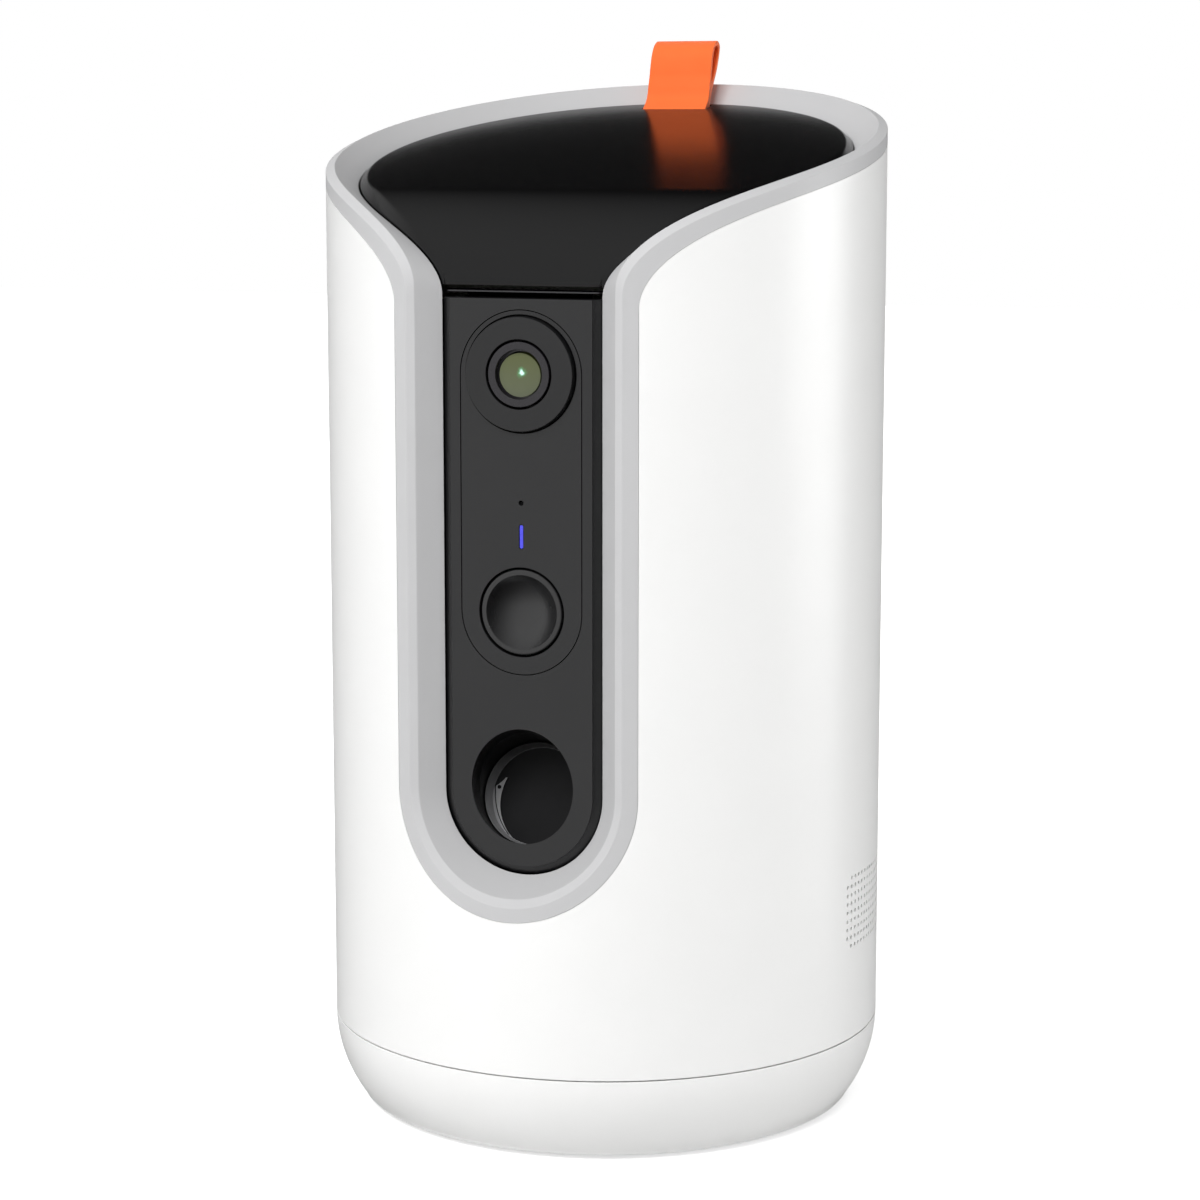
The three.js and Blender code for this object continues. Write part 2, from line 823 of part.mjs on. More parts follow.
function frontPlate() {
  const chamferStart = faceDepth - plateChamfer;
  const faceHalf = plateHalf - plateChamfer;
  const plate = stackLoft([
    slotOutline(plateHalf, plateTop - plateEdge, plateBack),
    slotOutline(plateHalf, plateTop, plateBack + plateEdge),
    slotOutline(plateHalf, plateTop, chamferStart),
    slotOutline(faceHalf, plateTop - plateEdge, faceDepth),
  ]);
  const lean = throatLine.half / Math.hypot(throatLine.half, throatLine.flat);
  const flangeFace = throatLine.flat - slotThroatDepth * lean - gap;
  const flange = slotTool(plateHalf + flangeWidth, plateArchHeight, flangeFace, plateBack, plateTop - plateEdge);
  const panelOutline = capsule(panelHalf + panelSlit / 2, panelLowCentre, panelHighCentre);
  const panelHole = alongY(panelOutline, -faceDepth - overrun, -plateBack + overrun);
  const bore = tilted(rodY(boreRadius, 0, 0, -3 * overrun, 3 * overrun, discSteps));
  let body = cut(join(plate, flange), panelHole, bore);
  for (const x of [-1, 1]) {
    for (const z of [boardLow + 2 * overrun, boardHigh - overrun]) {
      const place = x * (boardHalf - bossRadius);
      body = join(body, rodY(bossRadius, place, z, -plateBack - bossSink, -boardFront - gap, tinySteps));
    }
  }
  return body;
}

add("front_plate", frontPlate(), blackFace);

// Sensor panel: the capsule that holds camera, microphone hole, status light and button

function sensorPanel() {
  const back = faceDepth - panelThickness;
  const panel = alongY(capsule(panelHalf - panelSlit / 2, panelLowCentre, panelHighCentre), -faceDepth, -back);
  const light = lightLength / 2 + gap / 2;
  return cut(
    panel,
    rodY(discRadius + gap, 0, discCentre, -faceDepth - overrun, -back + overrun, discSteps),
    rodY(buttonRadius + gap, 0, buttonCentre, -faceDepth - overrun, -back + overrun, discSteps),
    rodY(microphoneHole, 0, microphoneHeight, -faceDepth - overrun, -back + overrun, 8),
    box(
      -lightWidth / 2 - gap / 2,
      lightWidth / 2 + gap / 2,
      -faceDepth - overrun,
      -back + overrun,
      lightCentre - light,
      lightCentre + light,
    ),
  );
}

add("sensor_panel", sensorPanel(), blackFace);

// A turned piece whose axis runs along Y: profile points are radius and distance in front of the axis

function turnedFront(points, height, steps) {
  const profile = points.map(([radius, depth]) => new THREE.Vector2(radius, -depth));
  return solid(new THREE.LatheGeometry(profile, steps).translate(0, 0, height));
}

const discFront = faceDepth + discProud;
const discBack = discFront - discThickness;
const ringHole = lensRingRadius + gap;
const cameraDisc = turnedFront(
  [
    [ringHole, discBack],
    [ringHole, discFront - gap],
    [ringHole + gap, discFront],
    [discRadius - gap, discFront],
    [discRadius, discFront - gap],
    [discRadius, discBack],
    [ringHole, discBack],
  ],
  discCentre,
  discSteps,
);
add("camera_disc", cameraDisc, blackGloss);

const barrelThroat = glassRadius + gap;
const lensRing = turnedFront(
  [
    [barrelThroat, discBack],
    [barrelThroat, discBack + glassDepth],
    [barrelMouth, discFront - lensRingWall],
    [barrelMouth, discFront],
    [lensRingRadius, discFront],
    [lensRingRadius, discBack],
    [barrelThroat, discBack],
  ],
  discCentre,
  smallSteps,
);
add("lens_ring", lensRing, blackGloss);

const glassBack = discBack + gap;
const lensGlass = turnedFront(
  [
    [0, glassBack],
    [glassRadius, glassBack],
    ...glassShares.map(([radius, fall]) => [glassRadius * radius, glassBack + glassDepth - glassCrown * fall]),
  ],
  discCentre,
  smallSteps,
);
add("lens_glass", lensGlass, lensCoat);

const cameraFront = discBack - gap;
const cameraBody = box(
  -cameraHalf,
  cameraHalf,
  -cameraFront,
  -cameraFront + cameraDepth,
  discCentre - cameraHalf,
  discCentre + cameraHalf,
);
const cameraBoard = box(
  -cameraHalf - cameraBoardEdge,
  cameraHalf + cameraBoardEdge,
  -cameraFront + cameraDepth - boardThickness,
  -cameraFront + cameraDepth,
  boardHigh + gap,
  discCentre + cameraHalf,
);
add("camera_module", join(cameraBody, cameraBoard), darkPlastic);

const lightPipe = box(
  -lightWidth / 2,
  lightWidth / 2,
  -faceDepth + gap / 2,
  -boardFront - gap,
  lightCentre - lightLength / 2,
  lightCentre + lightLength / 2,
);
add("status_light", lightPipe, blueLight);

const microphoneFront = faceDepth - panelThickness - gap;
add("microphone", rodY(microphoneRadius, 0, microphoneHeight, -microphoneFront, -boardFront - gap, tinySteps), steel);

// Toss button: a dished cap on a stem, in its round hole

const buttonBack = faceDepth - buttonThickness;
const buttonEdge = (buttonRadius - buttonDish) / 2;
const tossButton = turnedFront(
  [
    [0, buttonBack - buttonStem],
    [buttonStem, buttonBack - buttonStem],
    [buttonStem, buttonBack],
    [buttonRadius, buttonBack],
    [buttonRadius, faceDepth - buttonEdge],
    [buttonRadius - buttonEdge / 2, faceDepth],
    [buttonDish, faceDepth - buttonEdge / 2],
    [buttonDish * dishShares.radius, faceDepth - dishDepth * dishShares.depth],
    [0, faceDepth - dishDepth],
  ],
  buttonCentre,
  discSteps,
);
add("toss_button", tossButton, blackFace);

const switchFront = buttonBack - buttonStem - buttonTravel - gap;
const buttonSwitch = box(
  -buttonStem,
  buttonStem,
  -switchFront,
  -boardFront - gap / 3,
  buttonCentre - buttonStem,
  buttonCentre + buttonStem,
);
add("button_switch", buttonSwitch, darkPlastic);

const mainBoard = box(-boardHalf, boardHalf, -boardFront, -boardFront + boardThickness, boardLow, boardHigh);
add("main_board", mainBoard, greenBoard);

// Launch chute: a tilted tube behind the outlet with a feed window on top and a guide wall at its end

function launchChute() {
  const outer = boreRadius + chuteWall;
  const tube = rodY(outer, 0, 0, -overrun, chuteLength, discSteps);
  const hollow = rodY(boreRadius, 0, 0, -2 * overrun, chuteLength - bulkhead, discSteps);
  const stemHole = box(
    -stemWidth / 2 - 2 * gap,
    stemWidth / 2 + 2 * gap,
    0,
    chuteLength + overrun,
    -rackPitchLine - gearModule - 2 * gap,
    stemTop + 2 * gap,
  );
  const body = tilted(cut(tube, hollow, stemHole));
  const mouth = box(-bodyRadius, bodyRadius, -2 * bodyRadius, -plateBack + gap, 0, 2 * bodyRadius);
  const window = box(-feedHalf, feedHalf, -feedFront, -feedBack, outletHeight - overrun, outletHeight + 4 * overrun);
  return cut(body, mouth, window);
}

add("launch_chute", launchChute(), darkPlastic);

// Gear tooth flanks follow the involute, so the sector gear rolls along the rack without cutting it

function involuteAngle(angle) {
  return Math.tan(angle) - angle;
}

function gearOutline(firstTooth, lastTooth) {
  const pitchRadius = (gearModule * gearTeeth) / 2;
  const baseRadius = pitchRadius * Math.cos(pressure);
  const tipRadius = pitchRadius + gearModule;
  const rootRadius = pitchRadius - 1.25 * gearModule;
  const halfTooth = (Math.PI / 2 - backlash / gearModule / 2) / gearTeeth;
  const flankSteps = 2;
  const points = [];
  for (let tooth = firstTooth; tooth <= lastTooth; tooth += 1) {
    const middle = (tooth / gearTeeth) * 2 * Math.PI;
    const flank = [];
    for (let i = 0; i <= flankSteps; i += 1) {
      const radius = THREE.MathUtils.lerp(baseRadius, tipRadius, i / flankSteps);
      const turn = involuteAngle(Math.acos(baseRadius / radius));
      flank.push([radius, halfTooth + involuteAngle(pressure) - turn]);
    }
    points.push([rootRadius, middle - flank[0][1]]);
    flank.forEach(([radius, half]) => points.push([radius, middle - half]));
    flank.slice().reverse().forEach(([radius, half]) => points.push([radius, middle + half]));
    points.push([rootRadius, middle + flank[0][1]]);
  }
  const bareSteps = 6;
  const from = points[points.length - 1][1];
  const to = points[0][1] + 2 * Math.PI;
  for (let i = 1; i < bareSteps; i += 1) {
    points.push([rootRadius, THREE.MathUtils.lerp(from, to, i / bareSteps)]);
  }
  return points.map(([radius, angle]) => [radius * Math.sin(angle), radius * Math.cos(angle)]);
}

const gearRadius = (gearModule * gearTeeth) / 2;
const gearDrop = rackPitchLine + gearRadius;

function launchGear() {
  const shape = polygon(gearOutline(-9, 1).map(([s, n]) => [gearPlace + s, n - gearDrop]));
  const wheel = alongX(shape, -gearWidth / 2, gearWidth / 2);
  const axle = rodX(axleRadius, gearPlace, -gearDrop, -gearWidth / 2 - axleStub, axleReach, tinySteps);
  return join(wheel, axle);
}

// Kicker: a disc that pushes the treat out, on a square stem whose underside is the rack

function kicker() {
  const faceRadius = boreRadius - kickerClearance;
  const disc = solid(
    new THREE.LatheGeometry(
      [
        new THREE.Vector2(0, kickerStart + kickerRim / 2),
        new THREE.Vector2(faceRadius - kickerRim, kickerStart + kickerRim / 2),
        new THREE.Vector2(faceRadius - kickerRim / 2, kickerStart),
        new THREE.Vector2(faceRadius, kickerStart + kickerRim / 2),
        new THREE.Vector2(faceRadius, kickerStart + kickerThickness),
        new THREE.Vector2(0, kickerStart + kickerThickness),
      ],
      discSteps,
    ),
  );
  const rootLine = -rackPitchLine + 1.25 * gearModule;
  const bar = box(-stemWidth / 2, stemWidth / 2, kickerStart + kickerRim, stemEnd, rootLine, stemTop);
  const pitch = Math.PI * gearModule;
  const slope = Math.tan(pressure);
  const halfPitchTooth = pitch / 4 - backlash / 4;
  const teeth = [];
  const first = Math.ceil((rackStart - gearPlace) / pitch);
  const last = Math.floor((stemEnd - gearPlace) / pitch - 1);
  for (let i = first; i <= last; i += 1) {
    const middle = gearPlace + (i + 0.5) * pitch;
    const wide = halfPitchTooth + 1.25 * gearModule * slope;
    const narrow = halfPitchTooth - gearModule * slope;
    const tip = -rackPitchLine - gearModule;
    const tooth = polygon([
      [middle - wide, rootLine],
      [middle - narrow, tip],
      [middle + narrow, tip],
      [middle + wide, rootLine],
      [middle + wide, rootLine + gap],
      [middle - wide, rootLine + gap],
    ]);
    teeth.push(alongX(tooth, -stemWidth / 2, stemWidth / 2));
  }
  return join(disc, bar, ...teeth);
}

add("kicker", kicker(), darkPlastic, launcher);
add("launch_gear", launchGear(), innerPlastic, launcher);

// Kicker spring: a coil round the stem, between the kicker and the guide wall

function kickerSpring() {
  const start = kickerStart + kickerThickness + wireRadius + gap;
  const end = chuteLength - bulkhead - wireRadius - gap;
  const stepsPerCoil = 8;
  const sides = 5;
  const count = springCoils * stepsPerCoil;
  const outlines = [];
  for (let i = 0; i <= count; i += 1) {
    const turn = (i / stepsPerCoil) * 2 * Math.PI;
    const place = THREE.MathUtils.lerp(start, end, i / count);
    const outward = new THREE.Vector3(Math.cos(turn), 0, Math.sin(turn));
    const ring = [];
    for (let j = 0; j < sides; j += 1) {
      const angle = (j / sides) * 2 * Math.PI;
      const point = outward.clone().multiplyScalar(springRadius + wireRadius * Math.cos(angle));
      point.y = place + wireRadius * Math.sin(angle);
      ring.push(point);
    }
    outlines.push(ring);
  }
  return stackLoft(outlines);
}

add("kicker_spring", kickerSpring(), steel, launcher);

// The gear's axle in the upright frame of the drum

const gearCentre = new THREE.Vector3(0, gearPlace, -gearDrop).applyMatrix4(launcher.matrixWorld);

function launchMotor() {
  const inner = -gearWidth / 2 - axleStub - gap;
  const gearbox = box(
    inner - gearboxLength,
    inner,
    gearCentre.y - gearboxHalf,
    gearCentre.y + gearboxHalf,
    gearCentre.z - gearboxHalf,
    gearCentre.z + gearboxHalf,
  );
  const back = gearCentre.y + gearboxHalf;
  const canPlace = inner - gearboxLength / 2;
  const can = rodY(motorCanRadius, canPlace, gearCentre.z, back - motorSink, back + motorCanLength, smallSteps);
  const cap = rodY(motorCanRadius / 2, canPlace, gearCentre.z, back, back + motorCanLength + motorCap, tinySteps);
  return join(gearbox, can, cap);
}

add("launch_motor", launchMotor(), steel);

// Mechanism bed: the inner floor on the cup's bosses, with posts, motor seat, axle post and speaker wall

function mechanismBed() {
  const bedTop = bedBottom + bedThickness;
  let bed = rodZ(bedRadius, 0, 0, bedBottom, bedTop, innerSteps);
  for (const [x, y] of postShares) {
    for (const side of [-1, 1]) {
      bed = join(bed, rodZ(postRadius, side * x * trayInside, y * trayInside, bedBottom + gap, trayBottom - gap, tinySteps));
    }
  }
  const inner = -gearWidth / 2 - axleStub - gap;
  const seatTop = gearCentre.z - gearboxHalf - gap;
  const seatY = gearboxHalf - motorSeatInset;
  bed = join(
    bed,
    box(
      inner - gearboxLength + motorSeatInset,
      inner - motorSeatInset,
      gearCentre.y - seatY,
      gearCentre.y + seatY,
      bedBottom + gap,
      seatTop,
    ),
  );
  const arm = box(
    gearWidth / 2 + axlePostGap,
    axleReach - axleOverhang,
    gearCentre.y - axlePostHalf,
    gearCentre.y + axlePostHalf,
    bedBottom + gap,
    gearCentre.z + axlePostHalf,
  );
  bed = join(bed, arm);
  bed = cut(bed, rodX(axleRadius + gap, gearCentre.y, gearCentre.z, 0, axleReach + overrun, tinySteps));
  const wallDepth = speakerFace - speakerDepth - gap;
  const wall = box(
    -speakerRadius,
    speakerRadius,
    -wallDepth,
    -wallDepth + speakerWall,
    bedBottom + gap,
    speakerHeight + speakerWallRise,
  );
  bed = join(bed, turned(wall, speakerTurn));
  for (const place of saddlePlaces) {
    const y = -faceDepth + place * Math.cos(outletTilt);
    const axisHeight = outletHeight - place * Math.sin(outletTilt);
    const front = y - saddleDepth / 2;
    const saddle = box(-saddleHalf, saddleHalf, front, front + saddleDepth, bedBottom + gap, axisHeight - saddleDrop);
    bed = join(bed, saddle);
  }
  bed = cut(bed, tilted(rodY(boreRadius + chuteWall + gap, 0, 0, -overrun, chuteLength + gap, discSteps)));
  for (const side of [-1, 1]) {
    const x = side * (powerBoardHalf - boardPostInset);
    const y = powerBoardFront + boardPostBack;
    bed = join(bed, rodZ(boardPostRadius, x, y, bedBottom + gap, powerBoardBottom() - gap, tinySteps));
  }
  for (const [x, y] of screwPlaces()) {
    bed = cut(bed, rodZ(screwRadius + gap, x, y, bedBottom - overrun, bedTop + overrun, tinySteps));
  }
  return bed;
}

function turned(body, angle) {
  return solid(geometryOf(body).rotateZ(angle));
}

function powerBoardBottom() {
  return socketHeight - socketTall / 2 - boardThickness - gap / 3;
}

add("mechanism_bed", mechanismBed(), innerPlastic);

// Rotor tray: the round dish under the treat bin, with the drop window in its floor

function rotorTray() {
  const floorTop = trayBottom + trayFloor;
  const dish = cut(
    rodZ(trayInside + trayWall, 0, rotorOffset, trayBottom, trayTop, innerSteps),
    rodZ(trayInside, 0, rotorOffset, floorTop, trayTop + overrun, innerSteps),
  );
  const window = box(-feedHalf, feedHalf, -dropFront, -dropBack, trayBottom - overrun, floorTop + overrun);
  const shaftHole = rodZ(shaftRadius + gap, 0, rotorOffset, trayBottom - overrun, floorTop + overrun, tinySteps);
  return cut(dish, window, shaftHole);
}

add("rotor_tray", rotorTray(), innerPlastic);

// Treat rotor: a paddle wheel with a domed hub that stirs the treats and carries them to the drop window

function treatRotor() {
  const bottom = trayBottom + trayFloor + 2 * gap;
  const top = trayTop - 4 * gap;
  const hub = revolve(
    [
      [0, bottom],
      [hubRadius, bottom],
      [hubRadius, top],
      [hubRadius * hubShares.shoulder, (top + hubTop) / 2],
      [hubRadius * hubShares.crown, hubTop],
      [0, hubTop],
    ],
    smallSteps,
  ).translate(0, rotorOffset, 0);
  let rotor = join(hub, rodZ(shaftRadius, 0, rotorOffset, trayBottom - shaftReach, bottom + shaftSink, tinySteps));
  for (let i = 0; i < vaneCount; i += 1) {
    const angle = ((i + 0.5) / vaneCount) * 2 * Math.PI;
    const vane = box(hubRadius / 2, vaneRadius, -vaneThickness / 2, vaneThickness / 2, bottom, top);
    rotor = join(rotor, turned(vane, angle).translate(0, rotorOffset, 0));
  }
  return rotor;
}

add("treat_rotor", treatRotor(), innerPlastic);

const rotorMotorTop = trayBottom - gap;
const rotorMotor = cut(
  rodZ(rotorMotorRadius, 0, rotorOffset, rotorMotorTop - rotorMotorHeight, rotorMotorTop, smallSteps),
  rodZ(shaftRadius + gap, 0, rotorOffset, rotorMotorTop - shaftReach - gap, rotorMotorTop + overrun, tinySteps),
);
add("rotor_motor", rotorMotor, steel);

// Feed duct: a slanted funnel from the drop window down to the chute's feed window

function rectangle(half, front, back, height) {
  return [
    new THREE.Vector3(-half, -front, height),
    new THREE.Vector3(half, -front, height),
    new THREE.Vector3(half, -back, height),
    new THREE.Vector3(-half, -back, height),
  ];
}

function feedDuct() {
  const ductTop = trayBottom - gap;
  const ductBottom = outletHeight - overrun;
  const outer = stackLoft([
    rectangle(feedHalf + ductWall, feedFront + ductWall, feedBack - ductWall, ductBottom),
    rectangle(feedHalf + ductWall, feedFront + ductWall, feedBack - ductWall, outletHeight + overrun),
    rectangle(feedHalf + ductWall, dropFront + ductWall, dropBack - ductWall, ductTop),
  ]);
  const inner = stackLoft([
    rectangle(feedHalf, feedFront, feedBack, ductBottom - overrun),
    rectangle(feedHalf, feedFront, feedBack, outletHeight + overrun),
    rectangle(feedHalf, dropFront, dropBack, ductTop),
    rectangle(feedHalf, dropFront, dropBack, ductTop + overrun),
  ]);
  const chute = tilted(rodY(boreRadius + chuteWall + gap, 0, 0, -2 * overrun, chuteLength + gap, discSteps));
  const below = tilted(box(-2 * boreRadius, 2 * boreRadius, 0, 2 * chuteLength, -4 * overrun, 0));
  return cut(outer, inner, chute, below);
}

add("feed_duct", feedDuct(), innerPlastic);

// Treat bin: a D-shaped tub with a slanted rim, a rear flange under the trim and a funnel to the rotor

function dShape(radius, front) {
  const shape = new THREE.Shape();
  const angle = Math.asin(front / radius);
  shape.absarc(0, 0, radius, -angle, Math.PI + angle, false);
  shape.closePath();
  return shape;
}

function dPrism(radius, front, from, to) {
  const geometry = new THREE.ExtrudeGeometry(dShape(radius, front), {
    depth: to - from,
    bevelEnabled: false,
    curveSegments: innerSteps * 0.75,
  });
  return solid(geometry.translate(0, 0, from));
}

// Everything above a plane that rises to the back

function aboveSlant(height) {
  const reach = 2 * bodyRadius;
  const shape = polygon([
    [-reach, height - rimSlope * reach],
    [reach, height + rimSlope * reach],
    [reach, 3 * reach],
    [-reach, 3 * reach],
  ]);
  return alongX(shape, -reach, reach);
}

function funnelCone(low, high, bottom, front) {
  const cone = new THREE.CylinderGeometry(high, low, funnelTop - bottom, innerSteps);
  const body = solid(cone.rotateX(Math.PI / 2).translate(0, rotorOffset, (funnelTop + bottom) / 2));
  const room = box(-bodyRadius, bodyRadius, -front, bodyRadius, 0, shellTop);
  return body.intersect(room);
}

function hopper() {
  const bottom = trayTop + gap;
  const inside = hopperRadius - hopperWall;
  const front = hopperFront - hopperWall;
  const coneHigh = hopperRadius - rotorOffset;
  const outer = join(
    dPrism(hopperRadius, hopperFront, funnelTop - hopperWall, shellTop),
    funnelCone(trayInside + trayWall, coneHigh, bottom, hopperFront),
  );
  const cavity = join(
    dPrism(inside, front, funnelTop - gap, shellTop + overrun),
    funnelCone(trayInside, coneHigh - hopperWall, bottom, front),
    rodZ(trayInside, 0, rotorOffset, bottom - overrun, bottom + gap, innerSteps).intersect(
      box(-bodyRadius, bodyRadius, -front, bodyRadius, 0, shellTop),
    ),
  );
  let tub = cut(outer, cavity, aboveSlant(hopperRim));
  const ring = cut(
    rodZ(hopperFlange, 0, 0, hopperRim - 4 * overrun, hopperRim + 4 * overrun, turnSteps),
    rodZ(inside + gap, 0, 0, 0, shellTop, innerSteps),
    box(-bodyRadius, bodyRadius, -bodyRadius, -flangeFront, 0, shellTop),
    aboveSlant(hopperRim),
  );
  tub = join(tub, ring.intersect(aboveSlant(hopperRim - flangeThickness)));
  const shelf = new THREE.Shape();
  shelf.absarc(0, 0, trayInside + gap, -Math.PI / 2 - shelfSpread, -Math.PI / 2 + shelfSpread, false);
  shelf.lineTo(0, -hubRadius);
  const shelfRoom = box(-bodyRadius, bodyRadius, -hopperFront + gap, bodyRadius, 0, shellTop);
  const plate = alongZ(shelf, bottom, bottom + shelfThickness).translate(0, rotorOffset, 0).intersect(shelfRoom);
  const shelfCut = rodZ(hubRadius + 2 * gap, 0, rotorOffset, 0, shellTop, smallSteps);
  return join(tub, cut(plate, shelfCut));
}

add("hopper", hopper(), innerPlastic);

// Lid cover: a flat slanted top that rolls over to a vertical front, with a chamfered band round its edge

function lidPlaneAt(y) {
  return lidPlane + rimSlope * y;
}

function lidSurface(y) {
  const share = THREE.MathUtils.clamp((-y - lidRollStart) / lidRollDepth, 0, 1);
  return lidPlaneAt(y) - lidRollHeight * (1 - Math.sqrt(1 - share * share));
}

function lidCover() {
  const edge = { ...throatLine, radius: throatLine.radius - gap, half: throatLine.half - gap };
  const upper = stations.filter((station) => station.part !== "arch");
  const half = upper.length / 2;
  const rim = rimPath(edge, upper).map((point) => point.setZ(point.z + lidBandRise));
  const faceHalf = edge.half - plateChamfer;
  const front = [faceHalf, faceHalf / 2, 0, -faceHalf / 2, -faceHalf].map(
    (x) => new THREE.Vector3(x, -lidFront, lidSurface(-lidFront)),
  );
  const outline = [...rim.slice(0, Math.ceil(half)), ...front, ...rim.slice(Math.ceil(half))];
  const floor = outline.map((point) => point.clone().setZ(lidBottom - 2 * overrun));
  const shares = [1 - lidBand / edge.radius, ...lidRingShares];
  const rings = shares.map((share) =>
    outline.map((point) => {
      const y = point.y * share;
      return new THREE.Vector3(point.x * share, y, lidSurface(y));
    }),
  );
  const block = stackLoft([floor, outline, ...rings]);
  const under = [[bodyRadius, lidPlaneAt(bodyRadius) - lidThickness]];
  const innerDepth = lidRollDepth - lidThickness * lidFrontShare;
  for (let i = 0; i <= lidRollSteps; i += 1) {
    const angle = (i / lidRollSteps) * (Math.PI / 2);
    const y = -lidRollStart - innerDepth * Math.sin(angle);
    under.push([y, lidPlaneAt(y) - lidThickness - lidRollHeight * (1 - Math.cos(angle))]);
  }
  under.push([-lidRollStart - innerDepth, 0], [bodyRadius, 0]);
  const hollow = alongX(polygon(under), -bodyRadius, bodyRadius);
  const below = box(-bodyRadius, bodyRadius, -bodyRadius, bodyRadius, 0, lidBottom);
  const pocketHalf = tabWidth / 2 + gap;
  const pocket = box(
    -pocketHalf,
    pocketHalf,
    tabPlace - gap,
    tabPlace + tabBase() + gap,
    lidPlaneAt(tabPlace) - tabFoot - gap,
    shellTop,
  );
  return cut(block, hollow, below, pocket);
}

// Pull tab: a soft strap folded into a leaning teardrop loop, glued into its pocket in the lid

const tabOutlineShares = [
  [0, 0],
  [0.222, 0.149],
  [0.308, 0.344],
  [0.368, 0.487],
  [0.4, 0.6],
  [0.47, 0.773],
  [0.581, 0.909],
  [0.726, 0.981],
  [0.863, 1],
  [0.955, 0.968],
  [1, 0.903],
  [0.932, 0.766],
  [0.786, 0.571],
  [0.581, 0.377],
  [0.42, 0.2],
  [0.32, 0.06],
];
const tabHoleShares = [
  [0.436, 0.416],
  [0.487, 0.584],
  [0.564, 0.766],
  [0.658, 0.877],
  [0.786, 0.929],
  [0.889, 0.909],
  [0.91, 0.857],
  [0.846, 0.76],
  [0.709, 0.604],
  [0.538, 0.448],
];

function tabBase() {
  return tabOutlineShares[tabOutlineShares.length - 1][0] * tabDepth;
}

function pullTab() {
  const base = lidPlaneAt(tabPlace);
  const place = ([u, v]) => [tabPlace + u * tabDepth, base + v * tabHeight];
  const outline = tabOutlineShares.map(place);
  outline.push([tabPlace + tabBase(), base - tabFoot], [tabPlace, base - tabFoot]);
  const loop = alongX(polygon(tabHoleShares.map(place)), -tabWidth, tabWidth);
  return cut(alongX(polygon(outline), -tabWidth / 2, tabWidth / 2), loop);
}

add("lid_cover", lidCover(), blackGloss);
add("pull_tab", pullTab(), orangeTab);

// Lid liner and seal: the plug that reaches into the bin and the soft ring that lies on the bin's rim

function slantedRing(outerRadius, outerFront, from, to) {
  const tub = dPrism(outerRadius, outerFront, lidBottom - 2 * overrun, shellTop);
  return cut(tub, aboveSlant(to)).intersect(aboveSlant(from));
}

const linerTop = lidPlane - lidThickness - gap;
const linerFront = hopperFront - hopperWall - gap - gap / 2;
const liner = cut(
  slantedRing(linerRadius, linerFront, linerTop - linerDepth, linerTop),
  slantedRing(linerRadius - hopperWall, linerFront - hopperWall, 0, linerTop - hopperWall),
);
add("lid_liner", liner, innerPlastic);

const seal = cut(
  slantedRing(sealRadius, hopperFront - gap, hopperRim + gap, linerTop - gap / 3),
  dPrism(linerRadius + gap, linerFront + gap, 0, shellTop),
);
add("lid_seal", seal, rubberGrey);

// Front lip: the thin bar between plate and lid that the lid's front edge comes down on

const lipBar = box(-lipHalf, lipHalf, -throatLine.flat + gap, -plateBack + 2 * gap, lipBottom, lipBottom + lipHeight);
const lipLegDepth = 2;
const lipLeg = box(
  -panelHalf,
  panelHalf,
  -plateBack + gap,
  -plateBack + gap + lipLegDepth,
  lipFoot,
  lipBottom + lipHeight,
);
add("front_lip", join(lipBar, lipLeg), blackGloss);

// Speaker and its gasket, turned to face the holes in the shell

const speakerSide = new THREE.Group();
speakerSide.rotation.z = speakerTurn;
root.add(speakerSide);

const magnetRadius = speakerRadius * speakerShares.magnet;
const magnetDepth = speakerDepth * speakerShares.magnetDepth;
const speaker = join(
  rodY(speakerRadius, 0, speakerHeight, -speakerFace, -speakerFace + speakerDepth - magnetDepth, smallSteps),
  rodY(magnetRadius, 0, speakerHeight, -speakerFace + coneDepth / 2, -speakerFace + speakerDepth, smallSteps),
);
const coneBack = speakerRadius * speakerShares.coneBack;
const coneFront = speakerRadius * speakerShares.coneFront;
const cone = new THREE.CylinderGeometry(coneBack, coneFront, coneDepth, smallSteps);
const coneTool = solid(cone.translate(0, -speakerFace + coneDepth / 2 - gap, speakerHeight));
add("speaker", cut(speaker, coneTool), darkPlastic, speakerSide);

const gasketTube = cut(
  rodY(speakerRadius, 0, speakerHeight, -bodyRadius, -speakerFace - gap, smallSteps),
  rodY(speakerRadius - gasketWall, 0, speakerHeight, -bodyRadius - overrun, -speakerFace + overrun, smallSteps),
);
const gasket = gasketTube.intersect(rodZ(shellInside - 2 * gap, 0, 0, 0, shellTop, turnSteps));
add("speaker_gasket", gasket, rubberGrey, speakerSide);

// Power board with the inlet socket, and the reset button beside it, at the back

const powerBoard = box(
  -powerBoardHalf,
  powerBoardHalf,
  powerBoardFront,
  powerBoardBack,
  powerBoardBottom(),
  powerBoardBottom() + boardThickness,
);
add("power_board", powerBoard, greenBoard);

const socketInsideHalf = socketHalf - socketWall;
const socketInsideTall = socketTall / 2 - socketWall;
const socketBody = join(
  cut(
    box(
      -socketHalf,
      socketHalf,
      socketMouth - socketDepth,
      socketMouth,
      socketHeight - socketTall / 2,
      socketHeight + socketTall / 2,
    ),
    box(
      -socketInsideHalf,
      socketInsideHalf,
      socketMouth - socketDepth + socketFloor,
      socketMouth + overrun,
      socketHeight - socketInsideTall,
      socketHeight + socketInsideTall,
    ),
  ),
  box(
    -socketInsideHalf + tongueInset,
    socketInsideHalf - tongueInset,
    socketMouth - socketDepth + tongueInset,
    socketMouth - tongueInset,
    socketHeight - tongueTall,
    socketHeight + tongueTall,
  ),
);
add("power_socket", socketBody, steel);

